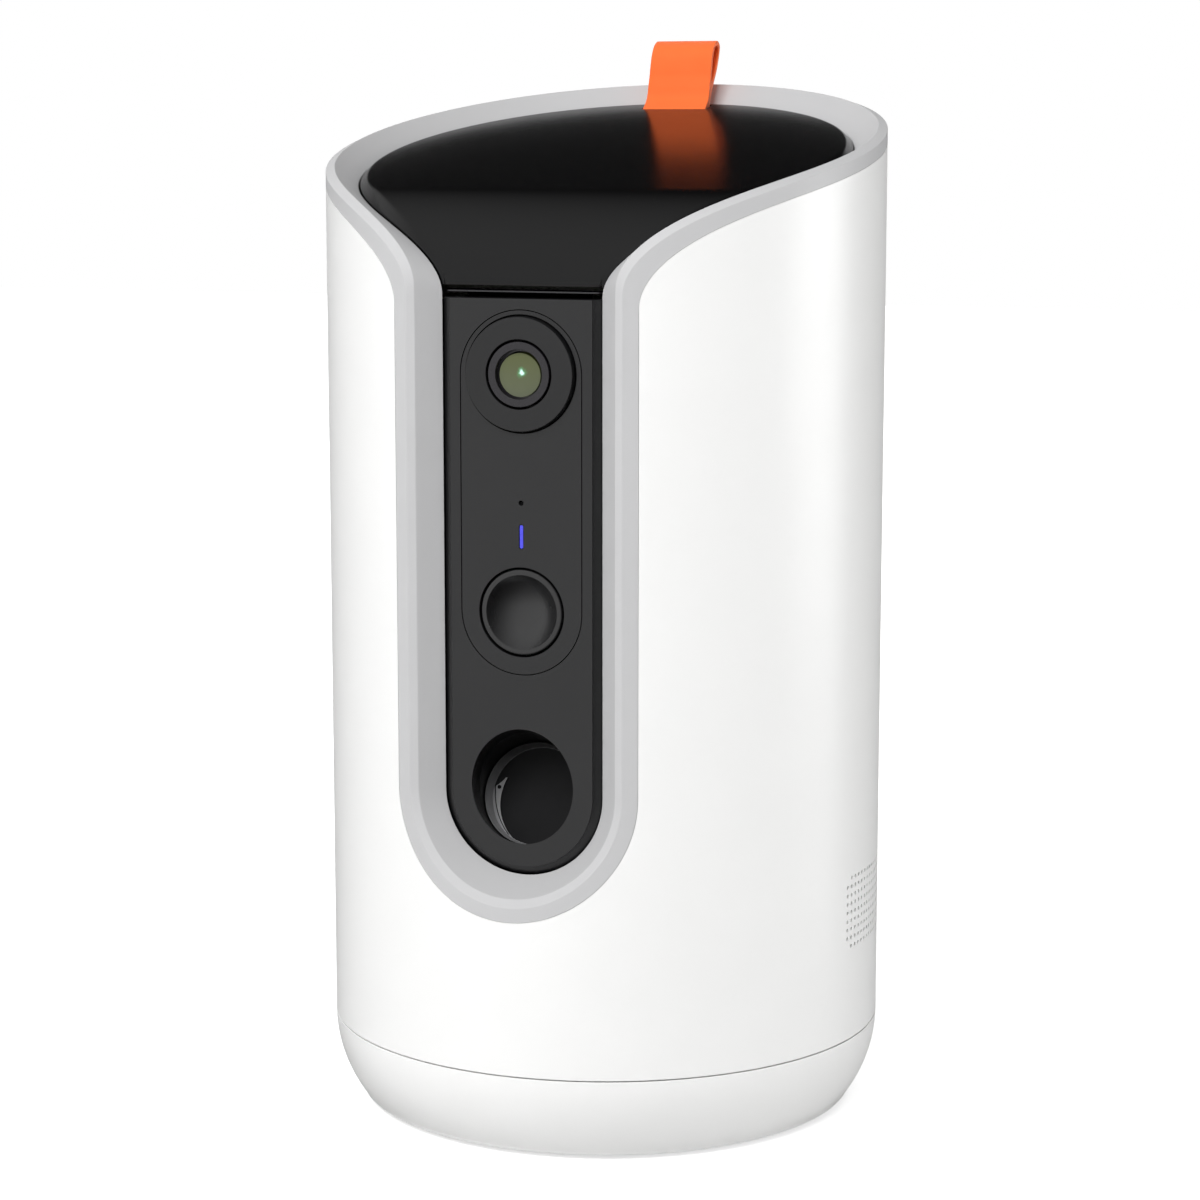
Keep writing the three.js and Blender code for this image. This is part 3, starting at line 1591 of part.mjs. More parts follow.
const resetOut = Math.sqrt(bodyRadius * bodyRadius - resetPlace * resetPlace);
const resetFront = resetOut - gap;
const resetBack = resetOut - resetLength;
const resetFlange = Math.sqrt(shellInside * shellInside - (resetPlace + 2 * resetRadius) ** 2) - 3 * gap;
const resetButton = join(
  rodY(resetRadius, resetPlace, socketHeight, resetBack, resetFront, tinySteps),
  rodY(resetRadius + resetFlangeWidth, resetPlace, socketHeight, resetFlange - resetFlangeWidth, resetFlange, tinySteps),
);
add("reset_button", resetButton, blackFace);

const resetSwitch = box(
  resetPlace - resetSwitchHalf,
  resetPlace + resetSwitchHalf,
  powerBoardFront + resetSwitchPlace,
  resetBack - resetTravel - gap,
  powerBoardBottom() + boardThickness + gap / 3,
  socketHeight + resetSwitchHalf,
);
add("reset_switch", resetSwitch, darkPlastic);

export default root;
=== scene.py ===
# Treat tossing pet camera: a white standing drum with a slanted open rim, a black lift-off lid with an
# orange pull tab, and a black front plate with camera, light, button and treat outlet.
# Sizes are in millimetres and turn to metres by MM. +Z is up and the front faces -Y.
import math

import bmesh
import bpy
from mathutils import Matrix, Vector


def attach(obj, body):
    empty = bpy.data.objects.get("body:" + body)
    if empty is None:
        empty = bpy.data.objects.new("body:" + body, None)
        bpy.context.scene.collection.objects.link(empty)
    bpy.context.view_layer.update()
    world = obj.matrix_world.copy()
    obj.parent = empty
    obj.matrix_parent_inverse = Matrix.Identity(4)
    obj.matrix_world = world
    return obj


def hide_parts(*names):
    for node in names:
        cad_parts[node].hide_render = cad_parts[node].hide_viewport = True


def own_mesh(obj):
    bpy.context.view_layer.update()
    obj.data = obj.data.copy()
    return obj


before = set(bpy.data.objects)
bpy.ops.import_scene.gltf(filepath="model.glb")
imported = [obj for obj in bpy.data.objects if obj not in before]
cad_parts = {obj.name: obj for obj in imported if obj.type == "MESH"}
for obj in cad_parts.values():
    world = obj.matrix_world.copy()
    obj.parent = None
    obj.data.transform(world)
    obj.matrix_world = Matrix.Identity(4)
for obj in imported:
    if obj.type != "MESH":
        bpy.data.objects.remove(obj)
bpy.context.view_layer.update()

# Base cup: the white bowl under the seam. It is injection moulded ABS with a satin face, a lap rim that
# the drum slips over, a groove for the foot and four bosses that take screws from below.

MM = 0.001
WELD = 0.002
GAP = 0.3
SEAM = 0.3
RIM_SEAM = 0.05
BODY_RADIUS = 60
SHELL_WALL = 2.4
FOOT_STANDOUT = 1
SEAM_HEIGHT = 18.75
CUP_SWEEP = 28
CUP_CORNER = 0.7
CUP_FLOOR = 3.2
LAP_HEIGHT = 3
FOOT_INNER = 38
FOOT_OUTER = 46
FOOT_GROOVE = 1.2
SCREW_CIRCLE = BODY_RADIUS / 2
SCREW_COUNT = 4
SCREW_RADIUS = 1.5
SCREW_HEAD = 3.2
SCREW_SEAT = 3.2
BOSS_RADIUS = 4.4
BED_BOTTOM = 21
EDGE_ROUND = 0.25
SEAM_ROUND = 0.1
OVERRUN = 5
SHARP_ANGLE = math.radians(32)
SIDE_STEPS = 40
FLOOR_STEPS = 12


def linear(colour):
    """An sRGB hex colour in the linear light that a shader works in."""
    parts = [int(colour[i : i + 2], 16) / 255 for i in (1, 3, 5)]
    return [p / 12.92 if p <= 0.04045 else ((p + 0.055) / 1.055) ** 2.4 for p in parts] + [1.0]


def add_node(tree, kind, settings=None, output=0):
    """Adds a node and gives one of its outputs. A setting is a field of the node, an input's value, or the
    output that feeds an input."""
    node = tree.nodes.new(kind)
    for key, value in (settings or {}).items():
        if isinstance(value, bpy.types.NodeSocket):
            tree.links.new(value, node.inputs[key])
        elif isinstance(key, str) and hasattr(node, key):
            setattr(node, key, value)
        else:
            node.inputs[key].default_value = value
    return node.outputs[output] if node.outputs else None


def new_material(name):
    """A material with an empty tree, and the place on the piece that its patterns follow."""
    material = bpy.data.materials.new(name)
    material.use_nodes = True
    tree = material.node_tree
    tree.nodes.clear()
    return material, tree, add_node(tree, "ShaderNodeTexCoord", output="Object")


def two_tone(tree, colours, share, relief, height, gloss):
    """Ends a tree with a surface whose colour runs between two as share does. Its relief, in millimetres,
    follows height, and gloss gives the rest."""
    first, second = (linear(colour) for colour in colours)
    base = add_node(tree, "ShaderNodeMix", {"data_type": "RGBA", 0: share, 6: first, 7: second}, 2)
    normal = add_node(tree, "ShaderNodeBump", {"Distance": relief * MM, "Height": height})
    shader = add_node(tree, "ShaderNodeBsdfPrincipled", {"Base Color": base, "Normal": normal, **gloss})
    add_node(tree, "ShaderNodeOutputMaterial", {"Surface": shader})


def moulded(name, shade, drift, roughness, grain=0.5, relief=0.004, mottle=16, gloss=None):
    """Moulded plastic or rubber: a shade that drifts slowly over the mottle's size towards a second one,
    and the fine relief of the tool's face. Grain, relief and mottle are in millimetres."""
    material, tree, place = new_material(name)
    slow = add_node(tree, "ShaderNodeTexNoise", {"Scale": 1 / (mottle * MM), "Detail": 3.0, "Vector": place})
    fine = add_node(tree, "ShaderNodeTexNoise", {"Scale": 1 / (grain * MM), "Detail": 2.0, "Vector": place})
    limits = {"To Min": roughness * 0.92, "To Max": roughness * 1.08}
    polish = add_node(tree, "ShaderNodeMapRange", {"Value": slow, **limits})
    two_tone(tree, (shade, drift), slow, relief, fine, {"Roughness": polish, **(gloss or {})})
    return material


def shape(name, points, faces):
    """A mesh from points in millimetres, with doubled points merged and its faces turned outwards."""
    mesh = bpy.data.meshes.new(name)
    mesh.from_pydata([[value * MM for value in point] for point in points], [], faces)
    work = bmesh.new()
    work.from_mesh(mesh)
    bmesh.ops.remove_doubles(work, verts=work.verts, dist=WELD * MM)
    bmesh.ops.recalc_face_normals(work, faces=work.faces)
    work.to_mesh(mesh)
    work.free()
    piece = bpy.data.objects.new(name, mesh)
    bpy.context.scene.collection.objects.link(piece)
    return piece


def eased(corners, radii, steps=3):
    """A closed path with its corners rounded. Each curve starts and ends its radius away from the corner."""
    corners = [Vector(corner) for corner in corners]
    path = []
    for i, corner in enumerate(corners):
        if not radii[i]:
            path.append(corner)
            continue
        before = corners[i - 1] - corner
        after = corners[(i + 1) % len(corners)] - corner
        start = corner + before.normalized() * min(radii[i], before.length * 0.45)
        end = corner + after.normalized() * min(radii[i], after.length * 0.45)
        for k in range(steps + 1):
            t = k / steps
            path.append(start * (1 - t) ** 2 + corner * 2 * t * (1 - t) + end * t**2)
    return path


def upright(u, v, along):
    return u, v, along


def turned(name, profile, place=upright, steps=128):
    """A turned piece: a closed profile of radius against distance along the axis, carried round it."""
    count = len(profile)
    points = []
    faces = []
    for i in range(steps):
        angle = 2 * math.pi * i / steps
        points += [place(r * math.cos(angle), r * math.sin(angle), along) for r, along in profile]
        row, after = i * count, (i + 1) % steps * count
        for j in range(count):
            k = (j + 1) % count
            if profile[j][0] or profile[k][0]:
                faces.append((row + j, row + k, after + k, after + j))
    return shape(name, points, faces)


def rod(radius, start, end, place=upright, steps=64, name="tool"):
    """A plain round tool or pin between two distances along an axis."""
    return turned(name, [(0, start), (radius, start), (radius, end), (0, end)], place, steps)


def bake(piece):
    """Gives a piece the mesh that its modifiers make of it."""
    view = bpy.context.evaluated_depsgraph_get()
    result = bpy.data.meshes.new_from_object(piece.evaluated_get(view), depsgraph=view)
    piece.modifiers.clear()
    piece.data = result
    return result


def carve(piece, *tools, operation="DIFFERENCE"):
    """Cuts the tools out of a piece, or joins them to it, and takes the tools away."""
    for tool in tools:
        step = piece.modifiers.new(tool.name, "BOOLEAN")
        step.operation = operation
        step.solver = "MANIFOLD"
        step.object = tool
    bake(piece)
    for tool in tools:
        bpy.data.objects.remove(tool)
    return piece


def soften(piece, width, segments=2, angle=35, where=None):
    """Rounds sharp edges as a mould does, so that they catch the light. where limits it to some places."""
    edges = piece.modifiers.new("soft edges", "BEVEL")
    edges.width = width * MM
    edges.segments = segments
    edges.use_clamp_overlap = False
    edges.harden_normals = True
    edges.angle_limit = math.radians(angle)
    if where is None:
        edges.limit_method = "ANGLE"
        return piece
    edges.limit_method = "WEIGHT"
    work = bmesh.new()
    work.from_mesh(piece.data)
    weight = work.edges.layers.float.new("bevel_weight_edge")
    for edge in work.edges:
        sharp = edge.is_manifold and edge.calc_face_angle() > edges.angle_limit
        if sharp and all(where(vertex.co / MM) for vertex in edge.verts):
            edge[weight] = 1
    work.to_mesh(piece.data)
    work.free()
    return piece


def finish_piece(piece, material, body, slot, *nodes):
    """Smooths a piece between its edges, and gives it its finish, its body and what it stands for."""
    if not piece.data.has_custom_normals:
        piece.data.shade_smooth()
        if "soft edges" not in piece.modifiers:
            piece.data.set_sharp_from_angle(angle=SHARP_ANGLE)
            piece.modifiers.new("even faces", "WEIGHTED_NORMAL").keep_sharp = True
    piece.data.materials.clear()
    piece.data.materials.append(material)
    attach(piece, body)
    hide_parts(*nodes)
    return piece


def arc(u, v, radius, start, end, steps):
    """Points along part of a circle round (u, v), between two angles in quarter turns."""
    turns = [(start + (end - start) * i / steps) * math.pi / 2 for i in range(steps + 1)]
    return [(u + radius * math.cos(turn), v + radius * math.sin(turn)) for turn in turns]


def cup_radius(height):
    fall = SEAM_HEIGHT - height
    return BODY_RADIUS - CUP_SWEEP + math.sqrt(CUP_SWEEP**2 - fall**2)


def screw_places():
    return arc(0, 0, SCREW_CIRCLE, 0.5, 4.5, SCREW_COUNT)[:-1]


def standing(x, y):
    """Places a turned piece upright over a point of the floor."""
    return lambda u, v, along: (x + u, y + v, along)


def base_cup():
    side_foot = FOOT_STANDOUT + CUP_CORNER
    foot_corner = cup_radius(side_foot) - CUP_CORNER
    rim = SEAM_HEIGHT - SEAM / 2
    side_top = rim - SEAM_ROUND
    groove_top = FOOT_STANDOUT + FOOT_GROOVE
    lap_top = SEAM_HEIGHT + LAP_HEIGHT
    lap_outer = BODY_RADIUS - SHELL_WALL - GAP
    lap_inner = lap_outer - SHELL_WALL
    floor_top = FOOT_STANDOUT + CUP_FLOOR
    profile = [(0, FOOT_STANDOUT), (FOOT_INNER - GAP, FOOT_STANDOUT), (FOOT_INNER - GAP, groove_top)]
    profile += [(FOOT_OUTER + GAP, groove_top), (FOOT_OUTER + GAP, FOOT_STANDOUT)]
    profile += arc(foot_corner, side_foot, CUP_CORNER, -1, 0, 8)
    for i in range(1, SIDE_STEPS + 1):
        height = side_foot + (side_top - side_foot) * i / SIDE_STEPS
        profile.append((cup_radius(height), height))
    profile += arc(BODY_RADIUS - SEAM_ROUND, side_top, SEAM_ROUND, 0, 1, 4)[1:]
    profile += [(lap_outer, rim), (lap_outer, lap_top), (lap_inner, lap_top)]
    for i in range(FLOOR_STEPS + 1):
        height = SEAM_HEIGHT + (floor_top - SEAM_HEIGHT) * i / FLOOR_STEPS
        profile.append((cup_radius(height) - 2 * SHELL_WALL - GAP, height))
    profile.append((0, floor_top))
    cup = turned("base_cup_moulding", profile, steps=192)
    for x, y in screw_places():
        place = standing(x, y)
        carve(cup, rod(BOSS_RADIUS, floor_top - GAP, BED_BOTTOM - GAP, place), operation="UNION")
        recess = rod(SCREW_HEAD + GAP, -OVERRUN, SCREW_SEAT, place)
        hole = rod(SCREW_RADIUS + GAP, -OVERRUN, BED_BOTTOM + OVERRUN, place)
        carve(cup, recess, hole)
    return cup


# White ABS from a finely blasted tool: almost even, with a soft satin sheen and no visible grain.
white_abs = moulded("white satin ABS", "#f5f5f4", "#f1f1f0", 0.36, grain=0.7, relief=0.002, mottle=22)

finish_piece(base_cup(), white_abs, "housing", "shell_white", "base_cup")

# Foot ring: a soft grey silicone band pressed into the groove, so that the camera doesn't slide when
# a pet noses it. It is compression moulded, with a rounded sole and fine grip ribs.

RIB_COUNT = 3
RIB_DEPTH = 0.25


def foot_ring():
    top = FOOT_STANDOUT + FOOT_GROOVE - GAP
    pitch = (FOOT_OUTER - FOOT_INNER) / (RIB_COUNT + 1)
    sole = [(FOOT_INNER, top), (FOOT_INNER, EDGE_ROUND), (FOOT_INNER + EDGE_ROUND, 0)]
    for i in range(1, RIB_COUNT + 1):
        sole += arc(FOOT_INNER + pitch * i, 0, RIB_DEPTH, 2, 0, 6)
    sole += [(FOOT_OUTER - EDGE_ROUND, 0), (FOOT_OUTER, EDGE_ROUND), (FOOT_OUTER, top)]
    return turned("foot_ring_silicone", sole, steps=160)


# Grey silicone with a dusty matt face, a shade rougher than the plastics round it.
foot_silicone = moulded("grey matt silicone", "#56575b", "#4c4d51", 0.75, grain=0.4, relief=0.01)
finish_piece(foot_ring(), foot_silicone, "housing", "foot_rubber", "foot_ring")

# Base screws and ballast: four pan head screws of plain steel that hold the cup to the mechanism bed,
# and the cut steel disc between them that keeps the tall drum from tipping.

SCREW_HEAD_HEIGHT = 1.6
HEAD_SHARES = ((0, 0), (0.7, 0), (0.9, 0.15), (1, 0.45), (1, 1))
RECESS_HALF = 0.35
RECESS_REACH = 1.8
RECESS_DEPTH = 1.0
BED_TOP = 23.5
SCRATCH_DEPTH = 0.004


def brushed_steel(name, shade, drift, roughness, scratch):
    """Plain steel: fine turning or rolling scratches, scratch millimetres long, that break up its gloss."""
    material, tree, place = new_material(name)
    stretch = add_node(tree, "ShaderNodeMapping", {"Scale": (1.0, 1.0, 12.0), "Vector": place})
    size = 1 / (scratch * MM)
    lines = add_node(tree, "ShaderNodeTexNoise", {"Scale": size, "Detail": 4.0, "Vector": stretch})
    limits = {"To Min": roughness * 0.7, "To Max": roughness * 1.3}
    polish = add_node(tree, "ShaderNodeMapRange", {"Value": lines, **limits})
    two_tone(tree, (shade, drift), lines, SCRATCH_DEPTH, lines, {"Metallic": 1.0, "Roughness": polish})
    return material


def prism(name, outline, start, end, place=upright):
    """An outline carried straight along an axis between two places."""
    count = len(outline)
    points = [place(u, v, along) for along in (start, end) for u, v in outline]
    faces = [tuple(range(count)), tuple(range(2 * count - 1, count - 1, -1))]
    faces += [(j, (j + 1) % count, (j + 1) % count + count, j + count) for j in range(count)]
    return shape(name, points, faces)


def block(x0, x1, y0, y1, z0, z1, place=upright):
    """A square tool between two corners."""
    return prism("tool", [(x0, y0), (x1, y0), (x1, y1), (x0, y1)], z0, z1, place)


def base_screw(index, x, y):
    place = standing(x, y)
    seat = SCREW_SEAT - GAP
    foot = seat - SCREW_HEAD_HEIGHT
    profile = [(SCREW_HEAD * wide, foot + SCREW_HEAD_HEIGHT * high) for wide, high in HEAD_SHARES]
    profile += [(SCREW_RADIUS, seat), (SCREW_RADIUS, BED_TOP), (0, BED_TOP)]
    screw = turned(f"base_screw_steel_{index}", profile, place, 48)
    low, high = foot - OVERRUN, foot + RECESS_DEPTH
    across = block(-RECESS_REACH, RECESS_REACH, -RECESS_HALF, RECESS_HALF, low, high, place)
    along = block(-RECESS_HALF, RECESS_HALF, -RECESS_REACH, RECESS_REACH, low, high, place)
    return carve(screw, across, along)


def dress(node, material, crease=35):
    """Gives a CAD solid that keeps its shape its finish, with its round stretches shaded smooth."""
    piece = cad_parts[node]
    mesh = piece.data
    if "custom_normal" in mesh.attributes:
        mesh.attributes.remove(mesh.attributes["custom_normal"])
    mesh.shade_smooth()
    piece.modifiers.new("one skin", "WELD").merge_threshold = WELD * MM
    split = piece.modifiers.new("crisp edges", "EDGE_SPLIT")
    split.split_angle = math.radians(crease)
    split.use_edge_sharp = False
    mesh.materials.clear()
    mesh.materials.append(material)
    return piece


# Zinc plated steel: a cool mid grey with short rolling marks.
plain_steel = brushed_steel("plain rolled steel", "#a3a5a9", "#8d8f93", 0.36, 0.6)
for index, (x, y) in enumerate(screw_places(), start=1):
    finish_piece(base_screw(index, x, y), plain_steel, "housing", "bare_steel", f"base_screw_{index}")
dress("ballast_disc", plain_steel)

# Mechanism bed: the inner floor on the cup's bosses, moulded in natural ABS with the posts, the motor
# seat, the axle post, the chute's saddles and the speaker wall in one piece.

# Natural ABS straight from the tool: a warm off-white, matt, with faint flow marks.
natural_abs = moulded("natural matt ABS", "#dcdcd6", "#d0d0c9", 0.55, grain=0.6, relief=0.008, mottle=12)
dress("mechanism_bed", natural_abs)

# Power board, inlet and reset button: a glass fibre board at the back with a stamped steel inlet in
# the drum's opening and a small black button that a finger nail or a pin presses.

SOCKET_HEIGHT = 31
SOCKET_HALF = 4.6
SOCKET_TALL = 1.7
SOCKET_CORNER = 1.6
SOCKET_SHELL = 0.35
SOCKET_MOUTH = 58.3
SOCKET_DEPTH = 8.5
SOCKET_FLOOR = 1.5
TONGUE_HALF = 3.2
TONGUE_TALL = 0.35
TONGUE_CORNER = 0.3
TONGUE_END = 1
RESET_PLACE = 14
RESET_RADIUS = 1.6
RESET_LENGTH = 7
RESET_FLANGE = 1
TRACK_SPACING = 5
TRACK_HEIGHT = 0.03


def circuit_board(name, mask, copper):
    """Glass fibre board: green solder mask over copper tracks that stand out as a slightly paler net."""
    material, tree, place = new_material(name)
    net = {"Scale": 1 / (TRACK_SPACING * MM), "Mortar Size": 0.04, "Mortar Smooth": 0.2, "Vector": place}
    tracks = add_node(tree, "ShaderNodeTexBrick", net, "Fac")
    two_tone(tree, (mask, copper), tracks, TRACK_HEIGHT, tracks, {"Roughness": 0.4})
    return material


def rounded_box(half_u, half_v, radius, steps=6, middle_v=0):
    """The outline of a rectangle with round corners, drawn once round."""
    outline = []
    for quarter, (side_u, side_v) in enumerate(((1, 1), (-1, 1), (-1, -1), (1, -1))):
        u, v = side_u * (half_u - radius), middle_v + side_v * (half_v - radius)
        outline += arc(u, v, radius, quarter, quarter + 1, steps)
    return outline


def facing_back(x, height):
    """Places a piece whose axis runs to the back."""
    return lambda u, v, along: (x + u, along, height + v)


def power_socket():
    place = facing_back(0, SOCKET_HEIGHT)
    back = SOCKET_MOUTH - SOCKET_DEPTH
    outside = rounded_box(SOCKET_HALF, SOCKET_TALL, SOCKET_CORNER)
    inside = rounded_box(SOCKET_HALF - SOCKET_SHELL, SOCKET_TALL - SOCKET_SHELL, SOCKET_CORNER - GAP)
    can = prism("power_socket_can", outside, back, SOCKET_MOUTH, place)
    carve(can, prism("tool", inside, back + SOCKET_FLOOR, SOCKET_MOUTH + OVERRUN, place))
    tongue = rounded_box(TONGUE_HALF, TONGUE_TALL, TONGUE_CORNER, 3)
    tongue = prism("tool", tongue, back + TONGUE_END, SOCKET_MOUTH - TONGUE_END, place)
    carve(can, tongue, operation="UNION")
    return soften(can, 0.08)


def reset_button():
    front = math.sqrt(BODY_RADIUS**2 - RESET_PLACE**2) - GAP
    foot = front - RESET_LENGTH
    inside = BODY_RADIUS - SHELL_WALL
    flange = math.sqrt(inside**2 - (RESET_PLACE + 2 * RESET_RADIUS) ** 2) - 3 * GAP
    wide = RESET_RADIUS + RESET_FLANGE
    profile = [(0, foot), (RESET_RADIUS, foot + GAP), (RESET_RADIUS, flange - RESET_FLANGE)]
    profile += [(wide, flange - RESET_FLANGE), (wide, flange), (RESET_RADIUS, flange)]
    profile += [(RESET_RADIUS, front - GAP), (RESET_RADIUS * 0.85, front - GAP / 3)]
    profile += [(RESET_RADIUS * 0.5, front), (0, front)]
    return turned("reset_button_cap", profile, facing_back(RESET_PLACE, SOCKET_HEIGHT), 48)


# Green solder mask with a satin film over the copper's net.
solder_mask = circuit_board("solder mask on glass fibre", "#1d573a", "#2c7049")
# Black ABS with a fine tool grain, the same as the small internal parts.
black_abs = moulded("black grained ABS", "#1b1b1d", "#161618", 0.48, grain=0.35, relief=0.012, mottle=9)
finish_piece(power_socket(), plain_steel, "housing", "bare_steel", "power_socket")
finish_piece(reset_button(), black_abs, "reset_button", "face_black", "reset_button")
dress("power_board", solder_mask)
dress("reset_switch", black_abs)

# Speaker and gasket: a round driver in a black moulded basket, held against the holes in the drum by a
# foam ring so that the sound leaves outwards.

# Foam rubber: dark, dull and finely pored.
foam_rubber = moulded("dark foam rubber", "#3a3b3e", "#2e2f32", 0.9, grain=0.5, relief=0.06)
dress("speaker", black_abs)
dress("speaker_gasket", foam_rubber)

# Launch chute: a black moulded tube that slants down from the outlet into the drum. Its mouth lies
# against the plate's bore, a window on top lets the treat in, and its end wall guides the kicker's stem.

FACE_DEPTH = 51
PLATE_BACK = 47
OUTLET_HEIGHT = 77.75
OUTLET_TILT = math.radians(22)
BORE_RADIUS = 11.1
CHUTE_WALL = 1.4
CHUTE_LENGTH = 50
BULKHEAD = 2.4
FEED_HALF = 8.5
FEED_FRONT = 37.5
FEED_BACK = 23
STEM_WIDTH = 5
STEM_TOP = 2.5
RACK_PITCH_LINE = 4
GEAR_MODULE = 1


def in_launcher(u, v, along):
    """Places a piece in the outlet's tilted frame: along runs inwards and down, v is square to it."""
    y = -FACE_DEPTH + along * math.cos(OUTLET_TILT) + v * math.sin(OUTLET_TILT)
    return u, y, OUTLET_HEIGHT - along * math.sin(OUTLET_TILT) + v * math.cos(OUTLET_TILT)


def launch_chute():
    outer = BORE_RADIUS + CHUTE_WALL
    wall_start = CHUTE_LENGTH - BULKHEAD
    profile = [(BORE_RADIUS, -OVERRUN), (outer, -OVERRUN), (outer, CHUTE_LENGTH), (0, CHUTE_LENGTH)]
    profile += [(0, wall_start), (BORE_RADIUS, wall_start)]
    tube = turned("launch_chute_moulding", profile, in_launcher)
    front = RIM_SEAM - PLATE_BACK
    mouth = block(-BODY_RADIUS, BODY_RADIUS, -2 * BODY_RADIUS, front, 0, 2 * BODY_RADIUS)
    low, high = OUTLET_HEIGHT - OVERRUN, OUTLET_HEIGHT + 4 * OVERRUN
    window = block(-FEED_HALF, FEED_HALF, -FEED_FRONT, -FEED_BACK, low, high)
    half = STEM_WIDTH / 2 + 2 * GAP
    foot, top = -RACK_PITCH_LINE - GEAR_MODULE - 2 * GAP, STEM_TOP + 2 * GAP
    stem_hole = block(-half, half, foot, top, CHUTE_LENGTH / 2, CHUTE_LENGTH + OVERRUN, in_launcher)
    return carve(tube, mouth, window, stem_hole)


# Black ABS from a polished core, so that treats slide and the bore shows a soft sheen.
bore_abs = moulded("black smooth ABS", "#0f0f10", "#0c0c0d", 0.34, relief=0.002)
finish_piece(launch_chute(), bore_abs, "housing", "launcher_black", "launch_chute")

# Kicker: the cup that throws the treat, on a square stem with a rack moulded into its underside. It is
# grey black acetal with a tapered wall that centres the treat, a dull pad of black rubber glued off centre
# into its floor, and beside the pad a crescent with a groove and a vent hole. The acetal is darker at the
# top of the cup as painted shade and paler low down as painted light, and the crescent is paler still,
# as painted light.

KICKER_START = 7.3
KICKER_RADIUS = 10.85
KICKER_BACK = 11.5
KICKER_EDGE = (0.12, 0.08)
WALL_FOOT = 10.35
CRESCENT_FACE = 10.6
PAD_FACE = 11.1
PAD_LIMIT = 10.3
PAD_CIRCLE = (2.2, -1.0, 10.7)
GROOVE_CIRCLE = (5.0, 2.0, 15.0)
GROOVE_WIDTH = 0.2
GROOVE_DEPTH = 0.35
VENT_HOLE = (-9.15, 1.3, 0.42)
CRESCENT_TOP = 3.4
CRESCENT_END = (-14.0, 7.6, 7.35)
STEM_END = 73
RACK_START = 39
GEAR_PLACE = 66
PRESSURE = math.radians(20)
BACKLASH = 0.35
ROOT_DEPTH = 1.25 * GEAR_MODULE
FACE_SLACK = 0.05
PAINTED_SHADE_RANGE = (-3, 8)


def beside_axis(u, v):
    """Places a piece in the launcher's frame, off its axis."""
    return lambda a, b, along: in_launcher(a + u, b + v, along)


def round_cut(circle, end, steps):
    """A round tool from the cup's rim to a depth, on a circle beside its axis."""
    u, v, radius = circle
    return rod(radius, KICKER_START, end, beside_axis(u, v), steps)


def kicker_face():
    inset, drop = KICKER_EDGE
    profile = [(0, CRESCENT_FACE), (WALL_FOOT, CRESCENT_FACE)]
    profile += [(KICKER_RADIUS - inset, KICKER_START), (KICKER_RADIUS, KICKER_START + drop)]
    profile += [(KICKER_RADIUS, KICKER_BACK), (0, KICKER_BACK)]
    cup = turned("kicker_moulding", profile, in_launcher)
    recess = round_cut(PAD_CIRCLE, PAD_FACE, 160)
    wide = 2 * KICKER_RADIUS
    above = block(-wide, wide, CRESCENT_TOP, wide, KICKER_START, PAD_FACE, in_launcher)
    carve(recess, above, round_cut(CRESCENT_END, PAD_FACE, 96), operation="UNION")
    u, v, radius = GROOVE_CIRCLE
    inner, outer = radius - GROOVE_WIDTH / 2, radius + GROOVE_WIDTH / 2
    low = CRESCENT_FACE + GROOVE_DEPTH
    ring = [(inner, KICKER_START), (outer, KICKER_START), (outer, low), (inner, low)]
    groove = turned("tool", ring, beside_axis(u, v), 256)
    for tool in (recess, groove):
        carve(tool, rod(PAD_LIMIT, 0, KICKER_BACK, in_launcher, 128), operation="INTERSECT")
    return carve(cup, recess, groove, round_cut(VENT_HOLE, KICKER_BACK - GAP, 32))


def kicker_stem():
    """The square stem, with the rack's straight-sided teeth along its underside."""
    half = STEM_WIDTH / 2
    root = ROOT_DEPTH - RACK_PITCH_LINE
    tip = -RACK_PITCH_LINE - GEAR_MODULE
    pitch = math.pi * GEAR_MODULE
    half_tooth = pitch / 4 - BACKLASH / 4
    wide = half_tooth + ROOT_DEPTH * math.tan(PRESSURE)
    narrow = half_tooth - GEAR_MODULE * math.tan(PRESSURE)
    outline = [(STEM_TOP, KICKER_BACK - GAP), (root, KICKER_BACK - GAP)]
    first = math.ceil((RACK_START - GEAR_PLACE) / pitch)
    last = math.floor((STEM_END - GEAR_PLACE) / pitch - 1)
    for i in range(first, last + 1):
        middle = GEAR_PLACE + (i + 0.5) * pitch
        outline += [(root, middle - wide), (tip, middle - narrow)]
        outline += [(tip, middle + narrow), (root, middle + wide)]
    outline += [(root, STEM_END), (STEM_TOP, STEM_END)]
    return prism("tool", outline, -half, half, lambda v, along, u: in_launcher(u, v, along))


def in_cup(point):
    """A point's place across the launcher's axis, and its depth along it."""
    out = Vector(point) / MM - Vector(in_launcher(0, 0, 0))
    rise = Vector(in_launcher(0, 1, 0)) - Vector(in_launcher(0, 0, 0))
    axis = Vector(in_launcher(0, 0, 1)) - Vector(in_launcher(0, 0, 0))
    return out.x, out.dot(rise), out.dot(axis)


def acetal_with_painted_shade():
    """Grey black acetal: darker at the top of the cup as painted shade, and paler low down as painted light.
    """
    material = moulded("grey black acetal", "#868688", "#7c7c7e", 0.4, grain=0.8, mottle=6)
    tree = material.node_tree
    base = tree.nodes["Principled BSDF"].inputs["Base Color"]
    place = add_node(tree, "ShaderNodeTexCoord", output="Object")
    height = add_node(tree, "ShaderNodeSeparateXYZ", {"Vector": place}, "Z")
    low, high = (in_launcher(0, v, KICKER_START)[2] * MM for v in PAINTED_SHADE_RANGE)
    limits = {"From Min": low, "From Max": high, "To Min": 1.0, "To Max": 0.12}
    fade = add_node(tree, "ShaderNodeMapRange", {"Value": height, **limits})
    scaled = {"operation": "SCALE", "Vector": base.links[0].from_socket, "Scale": fade}
    tree.links.new(add_node(tree, "ShaderNodeVectorMath", scaled), base)
    return material


# Grey black acetal with painted shade at the top of the cup and painted light low down.
acetal = acetal_with_painted_shade()
